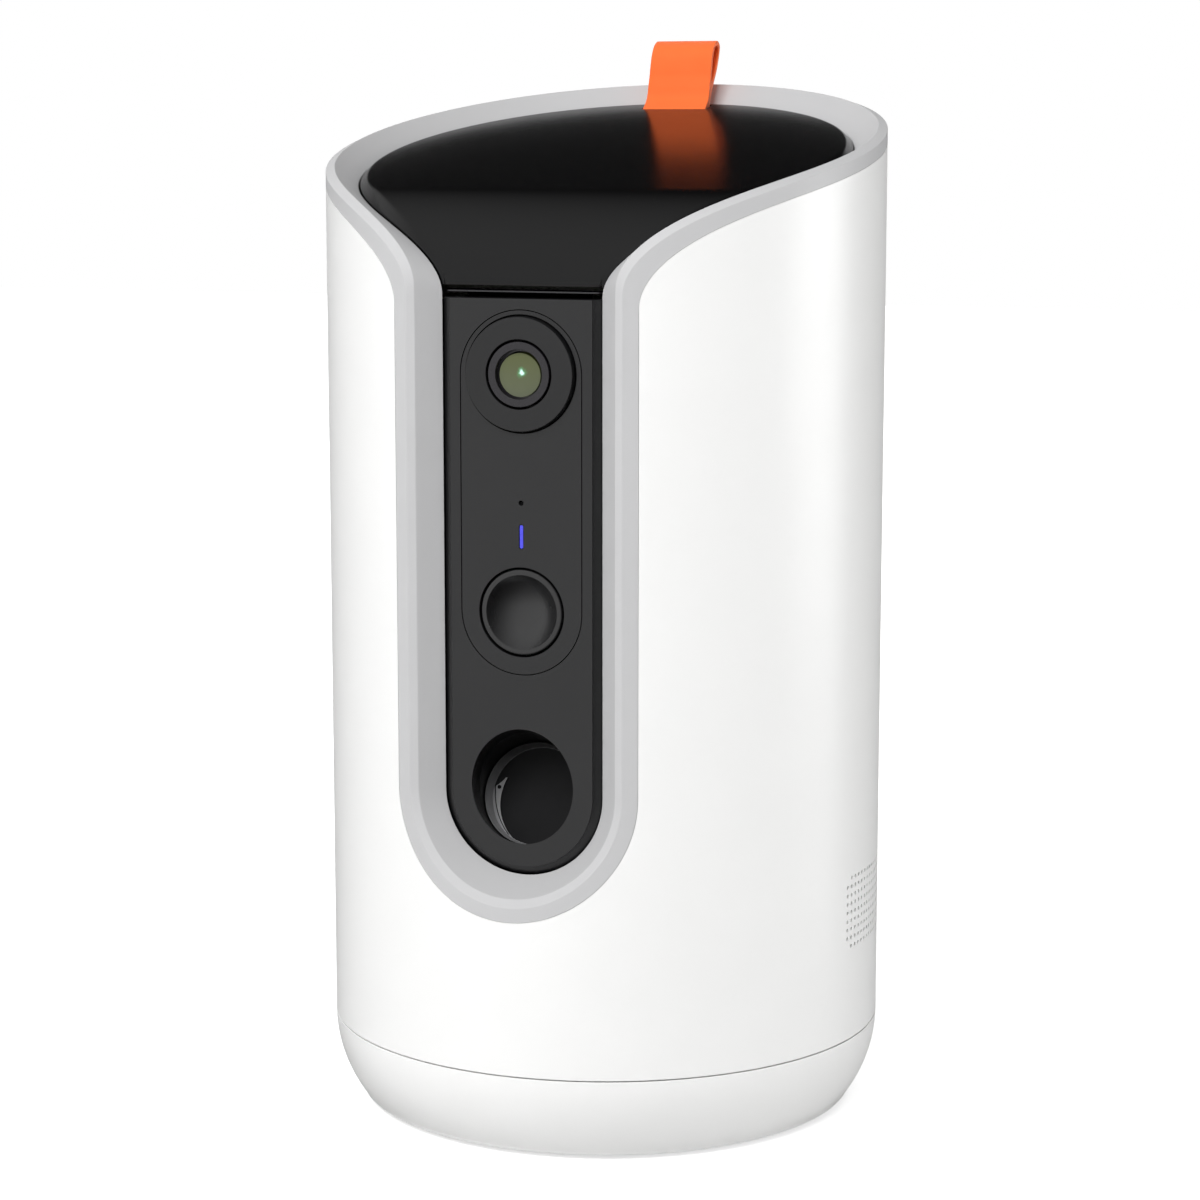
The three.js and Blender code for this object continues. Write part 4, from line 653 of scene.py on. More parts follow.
# The crescent inside the groove, painted palest as painted light.
crescent_painted_light = moulded("acetal with painted light", "#909091", "#7c7c7d", 0.45, relief=0.006, mottle=3)
# Black rubber: dull, so the floor of the cup stays dark.
dull = {"Specular IOR Level": 0.15}
pad_rubber = moulded("black dull rubber", "#1c1c1d", "#171718", 0.6, relief=0.006, mottle=8, gloss=dull)
kicker = carve(kicker_face(), kicker_stem(), operation="UNION")
finish_piece(kicker, acetal, "kicker", "launcher_black", "kicker")
# The crescent takes the paler acetal as painted light, and the cup's recessed floor the black rubber.
for material in (crescent_painted_light, pad_rubber):
    kicker.data.materials.append(material)
for face in kicker.data.polygons:
    u, v, depth = in_cup(face.center)
    if math.hypot(u, v) < WALL_FOOT and CRESCENT_FACE - FACE_SLACK < depth < KICKER_BACK - GAP / 2:
        if depth > CRESCENT_FACE + FACE_SLACK:
            face.material_index = 2
        elif math.dist((u, v), GROOVE_CIRCLE[:2]) < GROOVE_CIRCLE[2]:
            face.material_index = 1

# Launcher drive: a spring steel coil on the stem, a sector gear moulded in natural ABS that draws the
# rack back, and a small geared motor in a steel can.

# Hard drawn spring wire: brighter than the sheet steel, with long draw marks.
spring_wire = brushed_steel("spring wire", "#b4b6ba", "#9c9ea2", 0.28, 0.4)
spring = dress("kicker_spring", spring_wire, 80)
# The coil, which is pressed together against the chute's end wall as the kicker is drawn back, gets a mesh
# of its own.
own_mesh(spring)
dress("launch_gear", natural_abs)
dress("launch_motor", plain_steel)

# Rotor tray, treat rotor, its motor and the feed duct: natural ABS mouldings under the treat bin. The
# rotor's paddles push the treats round to the window, and the duct drops one into the chute.

dress("rotor_tray", natural_abs)
dress("treat_rotor", natural_abs)
dress("rotor_motor", plain_steel)
dress("feed_duct", natural_abs)

# Hopper: the treat bin, a D-shaped natural ABS tub with a slanted rim and a funnel to the rotor.

dress("hopper", natural_abs)

# Outer shell: the white drum. It is one ABS moulding, open at the top, with an arched slot at the front,
# a field of small round speaker holes at the side and two openings at the back.

RIM_HEIGHT = 204.95
RIM_SLOPE = 0.218
SHELL_TOP = 224
ARCH_HEIGHT = 77.45
SLOT_HALF = 26.2
NECK_DROP = 17.1
NECK_EASE = 1.8
REAR_STEPS = 72
NECK_STEPS = 56
ARCH_STEPS = 36
SHELL_STEPS = 288
HOLE_ROWS = 9
HOLE_COLUMNS = 16
HOLE_PITCH = 1.86
HOLE_RADIUS = 0.45
HOLE_SIDES = 12
FIRST_COLUMN = math.radians(78.4)
SPEAKER_HEIGHT = 46.7

SHELL_LINE = {
    "radius": BODY_RADIUS,
    "half": SLOT_HALF,
    "height": RIM_HEIGHT,
    "drop": NECK_DROP,
    "arch": ARCH_HEIGHT,
}


def rim_stations():
    """Stations once round a rim line: from the back over +X, down the slot and back over -X."""
    quarter = math.pi / 2
    side = [("rear", math.pi - i / REAR_STEPS * quarter) for i in range(REAR_STEPS + 1)]
    side += [("neck", (i / NECK_STEPS) ** NECK_EASE * quarter) for i in range(1, NECK_STEPS + 1)]
    side += [("arch", i / ARCH_STEPS * quarter) for i in range(ARCH_STEPS + 1)]
    right = [(part, angle, 1) for part, angle in side]
    left = [(part, angle, -1) for part, angle in reversed(side[1:-1])]
    return right + left


def slant(line, y):
    return line["height"] + RIM_SLOPE * y


def rim_point(line, station):
    """A point of a rim line, which is a slanted circle that dips down a neck into an arched slot."""
    part, angle, sign = station
    radius = line["radius"]
    slot_radius = line.get("slot_radius", radius)
    if part == "rear":
        y = -radius * math.cos(angle)
        return Vector((sign * radius * math.sin(angle), y, slant(line, y)))
    if part == "neck":
        x = radius - (radius - line["half"]) * math.sin(angle)
        radius += (slot_radius - radius) * math.sin(angle)
        y = -math.sqrt(radius**2 - x**2)
        return Vector((sign * x, y, slant(line, y) - line["drop"] * (1 - math.cos(angle))))
    x = line["half"] * math.cos(angle)
    y = -line["flat"] if "flat" in line else -math.sqrt(slot_radius**2 - x**2)
    return Vector((sign * x, y, line["arch"] - line["half"] * math.sin(angle)))


def rim_path(line, stations):
    return [rim_point(line, station) for station in stations]


def inward(path):
    """At every point, the direction on the drum's surface that points square to the line, into the mouth."""
    ways = []
    for i, point in enumerate(path):
        tangent = path[(i + 1) % len(path)] - path[i - 1]
        outward = Vector((point.x, point.y, 0))
        ways.append(tangent.cross(outward).normalized())
    return ways


def at_radius(point, radius):
    scale = radius / math.hypot(point.x, point.y)
    return Vector((point.x * scale, point.y * scale, point.z))


def loft(name, sections, ring=True):
    """A skin through sections of equally many points. A ring closes on itself, and others get two ends."""
    count = len(sections[0])
    points = [point for section in sections for point in section]
    faces = []
    for i in range(len(sections) - (0 if ring else 1)):
        row, after = i * count, (i + 1) % len(sections) * count
        faces += [(row + j, after + j, after + (j + 1) % count, row + (j + 1) % count) for j in range(count)]
    if not ring:
        faces += [tuple(range(count)), tuple(range(len(points) - 1, len(points) - count - 1, -1))]
    return shape(name, points, faces)


stations = rim_stations()
shell_path = rim_path(SHELL_LINE, stations)
shell_inward = inward(shell_path)


def above_rim(shift):
    """The tool that takes away the drum above its rim line and its neck."""
    inner, outer = BODY_RADIUS - SHELL_WALL - 1, BODY_RADIUS + 1
    sections = []
    for station in stations:
        if station[0] != "arch":
            low = rim_point(SHELL_LINE, station)
            low.z -= shift
            high = Vector((low.x, low.y, SHELL_TOP + 2 * OVERRUN))
            corners = ((low, inner), (low, outer), (high, outer), (high, inner))
            sections.append([at_radius(point, radius) for point, radius in corners])
    return loft("tool", sections)


def slot_outline(half, arch, top):
    return [(half, top), (-half, top)] + arc(0, arch, half, 2, 4, 2 * ARCH_STEPS)


def facing_front(u, v, along):
    """Places an outline of x and height, with along measured forwards from the drum's axis."""
    return u, -along, v


def speaker_holes():
    """All the speaker holes as one tool: a grid on the drum's side, without its four corner holes."""
    points = []
    faces = []
    circle = arc(0, 0, HOLE_RADIUS, 0, 4, HOLE_SIDES)[:-1]
    for row in range(HOLE_ROWS):
        for column in range(HOLE_COLUMNS):
            if row in (0, HOLE_ROWS - 1) and column in (0, HOLE_COLUMNS - 1):
                continue
            azimuth = FIRST_COLUMN + column * HOLE_PITCH / BODY_RADIUS
            out = Vector((math.sin(azimuth), -math.cos(azimuth), 0))
            side = Vector((math.cos(azimuth), math.sin(azimuth), 0))
            height = SPEAKER_HEIGHT + (row - (HOLE_ROWS - 1) / 2) * HOLE_PITCH
            first = len(points)
            middle, last = first + HOLE_SIDES, first + 2 * HOLE_SIDES
            for reach in (BODY_RADIUS - SHELL_WALL - 1, BODY_RADIUS + 1):
                points += [out * reach + side * u + Vector((0, 0, height + v)) for u, v in circle]
            faces += [tuple(range(first, middle)), tuple(range(last - 1, middle - 1, -1))]
            for k in range(HOLE_SIDES):
                start, after = first + k, first + (k + 1) % HOLE_SIDES
                faces.append((start, after, after + HOLE_SIDES, start + HOLE_SIDES))
    return shape("tool", points, faces)


def outer_shell():
    inside, outside = BODY_RADIUS - SHELL_WALL, BODY_RADIUS + OVERRUN
    foot = SEAM_HEIGHT + SEAM / 2
    profile = [(inside, foot), (BODY_RADIUS - SEAM_ROUND, foot)]
    profile.append((BODY_RADIUS - SEAM_ROUND * 0.3, foot + SEAM_ROUND * 0.3))
    profile += [(BODY_RADIUS, foot + SEAM_ROUND), (BODY_RADIUS, SHELL_TOP), (inside, SHELL_TOP)]
    shell = turned("outer_shell_moulding", profile, steps=SHELL_STEPS)
    slot_line = slot_outline(SLOT_HALF + RIM_SEAM / 2, ARCH_HEIGHT, SHELL_TOP + OVERRUN)
    slot = prism("tool", slot_line, OVERRUN, outside, facing_front)
    inlet_line = rounded_box(SOCKET_HALF + GAP, SOCKET_TALL + GAP, SOCKET_CORNER + GAP)
    inlet = prism("tool", inlet_line, OVERRUN, outside, facing_back(0, SOCKET_HEIGHT))
    reset = rod(RESET_RADIUS + GAP, OVERRUN, outside, facing_back(RESET_PLACE, SOCKET_HEIGHT))
    carve(shell, above_rim(RIM_SEAM / 2), slot, inlet, reset, speaker_holes())

    def on_back(point):
        return point.y > 50 and abs(math.hypot(point.x, point.y) - BODY_RADIUS) < 0.05

    return true_round(soften(shell, 0.16, 2, 40, on_back))


def true_round(piece):
    """Gives the outer wall the normals of a true cylinder, so that its cuts leave no shading lines."""
    piece.data.shade_smooth()
    result = bake(piece)
    result.set_sharp_from_angle(angle=SHARP_ANGLE)
    normals = [Vector(corner.vector) for corner in result.corner_normals]
    for face in result.polygons:
        corners = [result.vertices[i].co for i in face.vertices]
        if all(math.hypot(corner.x, corner.y) > (BODY_RADIUS - 0.03) * MM for corner in corners):
            for i, corner in zip(face.loop_indices, corners):
                normals[i] = Vector((corner.x, corner.y, 0)).normalized()
    result.normals_split_custom_set(normals)
    return piece


finish_piece(outer_shell(), white_abs, "housing", "shell_white", "outer_shell")

# Trim ring: the pale grey rim, one ABS moulding that runs round the mouth, down the neck and round the
# slot. Its section is an outer band, a crest, a slope to the throat and a flange under the drum.

CREST_RADIUS = 58
CREST_SLOT_RADIUS = 58.8
BAND_RISE = 3
THROAT_DEPTH = 5.2
SLOT_THROAT_DEPTH = 3
TRIM_INSIDE = 55
TRIM_FOOT = 6.1
TRIM_LAP = 4
CREST_INSET = 4.7
CREST_RISE = 3.9
TRIM_ROUNDS = (0.06, 0.15, 0.2, 0.3, 0, 0, 0, 0)

BAND_LINE = {**SHELL_LINE, "half": SLOT_HALF - BAND_RISE, "height": RIM_HEIGHT + BAND_RISE}
CREST_LINE = {
    **SHELL_LINE,
    "radius": CREST_RADIUS,
    "slot_radius": CREST_SLOT_RADIUS,
    "half": SLOT_HALF - CREST_INSET,
    "height": RIM_HEIGHT + CREST_RISE,
}
THROAT_LINE = {
    "radius": 53,
    "flat": 50.1,
    "half": 17.12,
    "height": RIM_HEIGHT - 0.9,
    "drop": 15,
    "arch": 76.35,
}


def trim_ring():
    lap_radius = BODY_RADIUS - SHELL_WALL - GAP - SEAM / 3
    band, crest, throat = (rim_path(line, stations) for line in (BAND_LINE, CREST_LINE, THROAT_LINE))
    throat_inward = inward(throat)
    sections = []
    for i, (part, angle, _) in enumerate(stations):
        share = {"rear": 0, "neck": math.sin(angle), "arch": 1}[part]
        depth = THROAT_DEPTH + (SLOT_THROAT_DEPTH - THROAT_DEPTH) * share
        point, way = shell_path[i], shell_inward[i]
        edge = point + way * RIM_SEAM / 2
        corners = [
            edge,
            band[i],
            crest[i],
            throat[i],
            throat[i] - throat_inward[i] * depth,
            at_radius(point - way * TRIM_FOOT, TRIM_INSIDE),
            at_radius(point - way * TRIM_LAP, lap_radius),
            at_radius(edge, lap_radius),
        ]
        sections.append(eased(corners, TRIM_ROUNDS))
    return loft("trim_ring_moulding", sections)


# Pale grey ABS, a little more matt than the drum, so the slope into the slot keeps an even tone.
grey_abs = moulded("pale grey satin ABS", "#c4c4c5", "#c0c0c1", 0.5, grain=0.4, mottle=20)
finish_piece(trim_ring(), grey_abs, "housing", "trim_grey", "trim_ring")

# Front plate: a flat black moulding with a chamfered edge, seated in the slot against the trim. It holds
# the sensor panel in a capsule-shaped opening, and the slanted bore below it is the treat outlet.

PLATE_HALF = 17
PLATE_TOP = 177.65
PLATE_CHAMFER = 1.6
PLATE_SLOPE = 1.3
PLATE_STEP = 0.25
PLATE_EDGE = 0.6
PLATE_DRAFT = 0.05
FLANGE_WIDTH = 3.5
FLANGE_FACE = 48.8
PLATE_ARCH = 76.35
PANEL_HALF = 13.1
PANEL_SLIT = 0.14
PANEL_LOW = 114.15
PANEL_HIGH = 162.25


def capsule(half, low, high, steps=48):
    return arc(0, high, half, 0, 2, steps) + arc(0, low, half, 2, 4, steps)


def front_plate():
    steps = (
        (0, PLATE_EDGE, PLATE_BACK),
        (0, 0, PLATE_BACK + PLATE_EDGE),
        (0, 0, FACE_DEPTH - PLATE_SLOPE),
        (PLATE_CHAMFER, PLATE_EDGE / 6, FACE_DEPTH - PLATE_STEP),
        (PLATE_CHAMFER + PLATE_DRAFT, PLATE_EDGE / 6, FACE_DEPTH),
    )
    sections = []
    for inset, drop, along in steps:
        outline = slot_outline(PLATE_HALF - inset, PLATE_ARCH, PLATE_TOP - drop)
        sections.append([facing_front(u, v, along) for u, v in outline])
    plate = loft("front_plate_moulding", sections, ring=False)
    flange = slot_outline(PLATE_HALF + FLANGE_WIDTH, PLATE_ARCH, PLATE_TOP - PLATE_EDGE)
    carve(plate, prism("tool", flange, PLATE_BACK, FLANGE_FACE, facing_front), operation="UNION")
    opening = capsule(PANEL_HALF + PANEL_SLIT / 2, PANEL_LOW, PANEL_HIGH)
    opening = prism("tool", opening, PLATE_BACK - OVERRUN, FACE_DEPTH + OVERRUN, facing_front)
    bore = rod(BORE_RADIUS, -3 * OVERRUN, 3 * OVERRUN, in_launcher, 128)
    carve(plate, opening, bore)
    return soften(plate, 0.05, 2, 30, lambda point: point.y < -FLANGE_FACE - GAP)


# Black ABS from a finely etched tool: an even dark grey under studio light, without a mirror image.
face_abs = moulded("black etched ABS", "#1a1a1b", "#171718", 0.32, grain=0.25, mottle=14)
finish_piece(front_plate(), face_abs, "housing", "face_black", "front_plate")

# Sensor panel: the capsule let into the plate, with round openings for camera and button, the pinhole of
# the microphone and the slot of the status light.

PANEL_THICKNESS = 2.5
DISC_CENTRE = 162.45
DISC_RADIUS = 11.75
DISC_GAP = 0.2
BUTTON_CENTRE = 113.95
BUTTON_RADIUS = 8.85
BUTTON_HOLE = 9.22
MICROPHONE_HEIGHT = 136.35
MICROPHONE_HOLE = 0.5
LIGHT_CENTRE = 129.45
LIGHT_LENGTH = 4.8
LIGHT_WIDTH = 0.7
LIGHT_SLIT = 0.1


def front_axis(height):
    """Places a turned piece whose axis runs forwards at a height."""
    return lambda u, v, along: (u, -along, height + v)


def sensor_panel():
    back = FACE_DEPTH - PANEL_THICKNESS
    start, end = back - OVERRUN, FACE_DEPTH + OVERRUN
    outline = capsule(PANEL_HALF - PANEL_SLIT / 2, PANEL_LOW, PANEL_HIGH)
    panel = prism("sensor_panel_moulding", outline, back, FACE_DEPTH, facing_front)
    half_width, half_length = LIGHT_WIDTH / 2 + LIGHT_SLIT, LIGHT_LENGTH / 2 + LIGHT_SLIT
    light = rounded_box(half_width, half_length, half_width, middle_v=LIGHT_CENTRE)
    carve(
        panel,
        rod(DISC_RADIUS + DISC_GAP, start, end, front_axis(DISC_CENTRE), 128),
        rod(BUTTON_HOLE, start, end, front_axis(BUTTON_CENTRE), 128),
        rod(MICROPHONE_HOLE, start, end, front_axis(MICROPHONE_HEIGHT), 32),
        prism("tool", light, start, end, facing_front),
    )
    return soften(panel, 0.1, 2, 40)


finish_piece(sensor_panel(), face_abs, "housing", "panel_black", "sensor_panel")

# Camera: a raised disc, the lens barrel in it and the coated front lens, with the camera's module behind.
# Disc and barrel are moulded black, and the lens is ground glass with a green antireflection coating.

DISC_FRONT = 52.2
DISC_BACK = 46.7
DISC_TOP_RADIUS = 11.5
DISC_HOLE = 7.05
DISC_EDGE = 0.05
RING_RADIUS = 6.58
RING_MOUTH = 5.0
RING_STEP = 50.6
GLASS_RADIUS = 4.42
GLASS_DROP = 0.15
GLASS_BACK = 47
GLASS_DEPTH = 4.6
GLASS_CROWN = 0.3
GLASS_STEPS = 16
GLINT_RIPPLE = 1.1
GLINT_PLACE = (1.05, 0.95)


def camera_disc():
    edge = (DISC_RADIUS, FACE_DEPTH + DISC_EDGE)
    corners = [(DISC_HOLE, DISC_BACK), (DISC_HOLE, DISC_FRONT), (DISC_TOP_RADIUS, DISC_FRONT)]
    corners += [edge, (DISC_RADIUS, DISC_BACK)]
    profile = eased(corners, [0, 0.15, 0.12, 0, 0], 4)
    return turned("camera_disc_moulding", profile, front_axis(DISC_CENTRE))


def lens_ring():
    throat = GLASS_RADIUS + GLASS_DROP + GAP / 5
    corners = [(throat, DISC_BACK), (throat, RING_STEP), (RING_MOUTH, RING_STEP)]
    corners += [(RING_MOUTH, DISC_FRONT), (RING_RADIUS, DISC_FRONT), (RING_RADIUS, DISC_BACK)]
    profile = eased(corners, [0, 0, 0, 0.15, 0.15, 0], 4)
    return turned("lens_ring_moulding", profile, front_axis(DISC_CENTRE), 96)


def lens_glass():
    profile = [(0, GLASS_BACK), (GLASS_RADIUS, GLASS_BACK)]
    for i in range(GLASS_STEPS + 1):
        share = 1 - i / GLASS_STEPS
        profile.append((GLASS_RADIUS * share, GLASS_BACK + GLASS_DEPTH - GLASS_CROWN * share**2))
    return turned("lens_glass_element", profile, front_axis(DISC_CENTRE - GLASS_DROP), 96)


def coated_lens():
    """Ground glass over a dark barrel. The coating turns its depth olive, and the colour runs paler towards
    the lower edge. A faint painted glow lies over it, and a small pale painted glint with a green fringe
    stands for the light that the inner elements send back."""
    material, tree, place = new_material("coated optical glass")
    height = add_node(tree, "ShaderNodeSeparateXYZ", {"Vector": place}, "Z")
    limits = {"From Min": (DISC_CENTRE - GLASS_RADIUS) * MM, "From Max": (DISC_CENTRE + GLASS_RADIUS) * MM}
    rise = add_node(tree, "ShaderNodeMapRange", {"Value": height, **limits})
    olive = {"data_type": "RGBA", 0: rise, 6: linear("#525840"), 7: linear("#484e24")}
    colour = add_node(tree, "ShaderNodeMix", olive, 2)
    ripple = {"Scale": 1 / (GLINT_RIPPLE * MM), "Detail": 1.0, "Vector": place}
    push = {0: add_node(tree, "ShaderNodeTexNoise", ripple, "Color"), 2: place}
    push[1] = (GLINT_RIPPLE * MM, 0, GLINT_RIPPLE * MM)
    bent = add_node(tree, "ShaderNodeVectorMath", {"operation": "MULTIPLY_ADD", **push})
    spot = Vector((GLINT_PLACE[0], -GLASS_BACK - GLASS_DEPTH, DISC_CENTRE + GLINT_PLACE[1])) * MM
    away = add_node(tree, "ShaderNodeVectorMath", {"operation": "DISTANCE", 0: bent, 1: spot}, "Value")
    # Painted glint: a green fringe, then a pale core, round one spot on the glass.
    for tint, edge, core in (("#4f8f5a", 1.3, 0.3), ("#d8fff6", 0.75, 0.25)):
        limits = {"From Min": edge * MM, "From Max": core * MM, "interpolation_type": "SMOOTHSTEP"}
        share = add_node(tree, "ShaderNodeMapRange", {"Value": away, **limits})
        tinted = {"data_type": "RGBA", 0: share, 6: colour, 7: linear(tint)}
        colour = add_node(tree, "ShaderNodeMix", tinted, 2)
    # The faint emission is a painted glow.
    glass = {"Base Color": colour, "Emission Color": colour, "Emission Strength": 0.1, "Roughness": 0.08}
    coat = {"IOR": 1.5, "Coat Weight": 0.2, "Coat Roughness": 0.03}
    shader = add_node(tree, "ShaderNodeBsdfPrincipled", {**glass, **coat})
    add_node(tree, "ShaderNodeOutputMaterial", {"Surface": shader})
    return material


# Black ABS from a stoned tool for the disc, and the same polished for the barrel.
disc_abs = moulded("black satin ABS", "#161617", "#131314", 0.38, grain=0.25)
barrel_abs = moulded("black polished ABS", "#201e22", "#1d1b1f", 0.22, relief=0.001)
finish_piece(camera_disc(), disc_abs, "housing", "camera_black", "camera_disc")
finish_piece(lens_ring(), barrel_abs, "housing", "camera_black", "lens_ring")
finish_piece(lens_glass(), coated_lens(), "housing", "lens_glass", "lens_glass")
dress("camera_module", black_abs)
dress("microphone", plain_steel)

# Status light: a milky light pipe, moulded acrylic, that brings the board's blue lamp to the face.

PIPE_RECESS = 0.15
PIPE_BACK = 42.3


def status_light():
    outline = rounded_box(LIGHT_WIDTH / 2, LIGHT_LENGTH / 2, LIGHT_WIDTH / 2, 8, middle_v=LIGHT_CENTRE)
    return prism("status_light_pipe", outline, PIPE_BACK, FACE_DEPTH - PIPE_RECESS, facing_front)


# Milky acrylic lit from behind: an even violet blue with a faint glow.
lit = {"Emission Color": linear("#5252d8"), "Emission Strength": 0.2}
lit_acrylic = moulded("lit milky acrylic", "#4a4ad6", "#4646d0", 0.4, grain=0.6, relief=0.002, gloss=lit)
finish_piece(status_light(), lit_acrylic, "housing", "light_blue", "status_light")

# Toss button: a round cap with a dished face and a smooth rim, moulded black, on a short stem that
# presses the switch on the main board.

BUTTON_DISH = 7.7
DISH_DEPTH = 3.3
DISH_BEND = 2.25
BUTTON_THICKNESS = 4.6
BUTTON_STEM = 3
BUTTON_REACH = 6
BUTTON_EDGE = 0.45
DISH_STEPS = 32
DISH_EDGE = 0.12


def toss_button():
    back = FACE_DEPTH - BUTTON_THICKNESS
    foot = FACE_DEPTH - BUTTON_REACH
    profile = [(0, foot), (BUTTON_STEM, foot), (BUTTON_STEM, back), (BUTTON_RADIUS, back)]
    profile += arc(BUTTON_RADIUS - BUTTON_EDGE, FACE_DEPTH - BUTTON_EDGE, BUTTON_EDGE, 0, 1, 6)
    profile.append((BUTTON_DISH + DISH_EDGE, FACE_DEPTH))
    for i in range(DISH_STEPS + 1):
        share = 1 - i / DISH_STEPS
        profile.append((BUTTON_DISH * share, FACE_DEPTH - DISH_DEPTH * (1 - share**DISH_BEND)))
    return turned("toss_button_cap", profile, front_axis(BUTTON_CENTRE))


# Black ABS from a finely polished tool, glossier than the plate, so that the dish shows its depth.
bright = {"Specular IOR Level": 0.72}
button_abs = moulded("black soft gloss ABS", "#131314", "#111112", 0.27, 0.25, 0.002, gloss=bright)
finish_piece(toss_button(), button_abs, "toss_button", "face_black", "toss_button")
dress("button_switch", black_abs)
dress("main_board", solder_mask)

# Front lip: the thin bar between plate and lid, a black moulding on one wide leg that the lid comes down
# on, clipped to the plate's back.

LIP_HALF = 16.6
LIP_FRONT = 49.8
LIP_BACK = 46.4
LIP_BOTTOM = 178.75
LIP_HEIGHT = 0.32
LIP_FOOT = 172
LIP_LEG = 2
LIP_CORNER = 0.8


def front_lip():
    half_depth, middle = (LIP_FRONT - LIP_BACK) / 2, (LIP_FRONT + LIP_BACK) / 2
    top = LIP_BOTTOM + LIP_HEIGHT
    bar = rounded_box(LIP_HALF, half_depth, LIP_CORNER, middle_v=-middle)
    lip = prism("front_lip_moulding", bar, LIP_BOTTOM, top)
    front = GAP - PLATE_BACK
    leg = block(-PANEL_HALF, PANEL_HALF, front, front + LIP_LEG, LIP_FOOT, top)
    carve(lip, leg, operation="UNION")
    return soften(lip, 0.05, 2, 50)


# Black ABS, lightly polished, and a shade paler than the other black parts as a painted highlight, so that
# the thin bar shows as a fine pale line between its two gaps.
lip_abs = moulded("black lip ABS", "#303032", "#2c2c2e", 0.3, grain=0.4, relief=0.002)
# Dull near black on the leg and the bar's top: painted shade that keeps the gaps below and above the bar
# dark.
dull_shade = {"Specular IOR Level": 0.05}
painted_shade_black = moulded("black painted shade", "#050505", "#040404", 0.9, relief=0.02, gloss=dull_shade)
lip = finish_piece(front_lip(), lip_abs, "housing", "panel_black", "front_lip")
lip.data.materials.append(painted_shade_black)
# The leg and the bar's top take the painted shade.
for face in lip.data.polygons:
    if face.center.z < (LIP_BOTTOM - LIP_HEIGHT / 5) * MM or face.normal.z > 0.7:
        face.material_index = 1

# Lid liner and seal: the natural ABS plug that reaches into the bin and the soft ring that closes on its
# rim. They come away with the lid.

dress("lid_liner", natural_abs)
dress("lid_seal", foot_silicone)

# Lid cover: one glossy black moulding, flat and slanted on top, rolled over to the front plate, with a
# chamfered band round its edge and a pocket for the pull tab.

LID_PLANE = 205.85
LID_ROLL_START = 30.6
LID_ROLL_DEPTH = 20.4
LID_ROLL_HEIGHT = 19.5
LID_BOTTOM = 179.85
LID_THICKNESS = 3.4
LID_FRONT_SHARE = 0.8
LID_BAND = 1.5
LID_BAND_RISE = 0.25
LID_FRONT = 50.45
LID_ROLL_RINGS = 28
LID_CREASE = 0.5
LID_EDGE_ROUND = 0.25
LID_SIDE_GAP = 0.12
LID_CORNER = 0.4
LID_FRONT_STEPS = 24
LID_UNDER_STEPS = 24
LID_LINE = {
    **THROAT_LINE,
    "radius": THROAT_LINE["radius"] - GAP,
    "half": THROAT_LINE["half"] - LID_SIDE_GAP,
}
TAB_WIDTH = 15
TAB_PLACE = 45.3
TAB_FOOT = 2.1
TAB_DEPTH = 11.7
TAB_HEIGHT = 15.45
TAB_BASE_SHARE = 0.32


def lid_plane_at(y):
    return LID_PLANE + RIM_SLOPE * y


def lid_surface(y):
    share = min(max((-y - LID_ROLL_START) / LID_ROLL_DEPTH, 0), 1)
    return lid_plane_at(y) - LID_ROLL_HEIGHT * (1 - math.sqrt(1 - share**2))


def lid_edge():
    """The points of the lid's edge, each with how far it belongs to the narrow front."""
    upper = [station for station in stations if station[0] != "arch"]
    rim = [point + Vector((0, 0, LID_BAND_RISE)) for point in rim_path(LID_LINE, upper)]
    narrow = [math.sin(angle) ** 4 if part == "neck" else 0 for part, angle, _ in upper]
    right_end = len(upper) // 2 + 1
    front = []
    for i in range(LID_FRONT_STEPS + 1):
        x = (LID_LINE["half"] - LID_CORNER) * (1 - 2 * i / LID_FRONT_STEPS)
        front.append(Vector((x, -LID_FRONT, lid_surface(-LID_FRONT))))
    outline = rim[:right_end] + front + rim[right_end:]
    return zip(outline, narrow[:right_end] + [1] * len(front) + narrow[right_end:])


def lid_rings(band):
    """The rings of the lid's top inside its band, as shares of the way out to its edge. They lie close
    together over the roll."""
    shares = []
    full_turn = math.asin((LID_FRONT - LID_ROLL_START) / LID_ROLL_DEPTH)
    for i in range(1, LID_ROLL_RINGS + 1):
        turn = (1 - i / LID_ROLL_RINGS) * full_turn
        reach = (LID_ROLL_START + LID_ROLL_DEPTH * math.sin(turn)) / LID_FRONT
        if reach < band - 0.01:
            shares.append(reach)
    return shares + [0.5, 0.4, 0.3, 0.2, 0.1]


def lid_hollow():
    """The tool that leaves the lid an even wall under its top and its roll."""
    depth = LID_ROLL_DEPTH - LID_THICKNESS * LID_FRONT_SHARE
    under = [(BODY_RADIUS, lid_plane_at(BODY_RADIUS) - LID_THICKNESS)]
    for i in range(LID_UNDER_STEPS + 1):
        turn = i / LID_UNDER_STEPS * math.pi / 2
        y = -LID_ROLL_START - depth * math.sin(turn)
        under.append((y, lid_plane_at(y) - LID_THICKNESS - LID_ROLL_HEIGHT * (1 - math.cos(turn))))
    under += [(-LID_ROLL_START - depth, 0), (BODY_RADIUS, 0)]
    return prism("tool", under, -BODY_RADIUS, BODY_RADIUS, lambda y, z, x: (x, y, z))


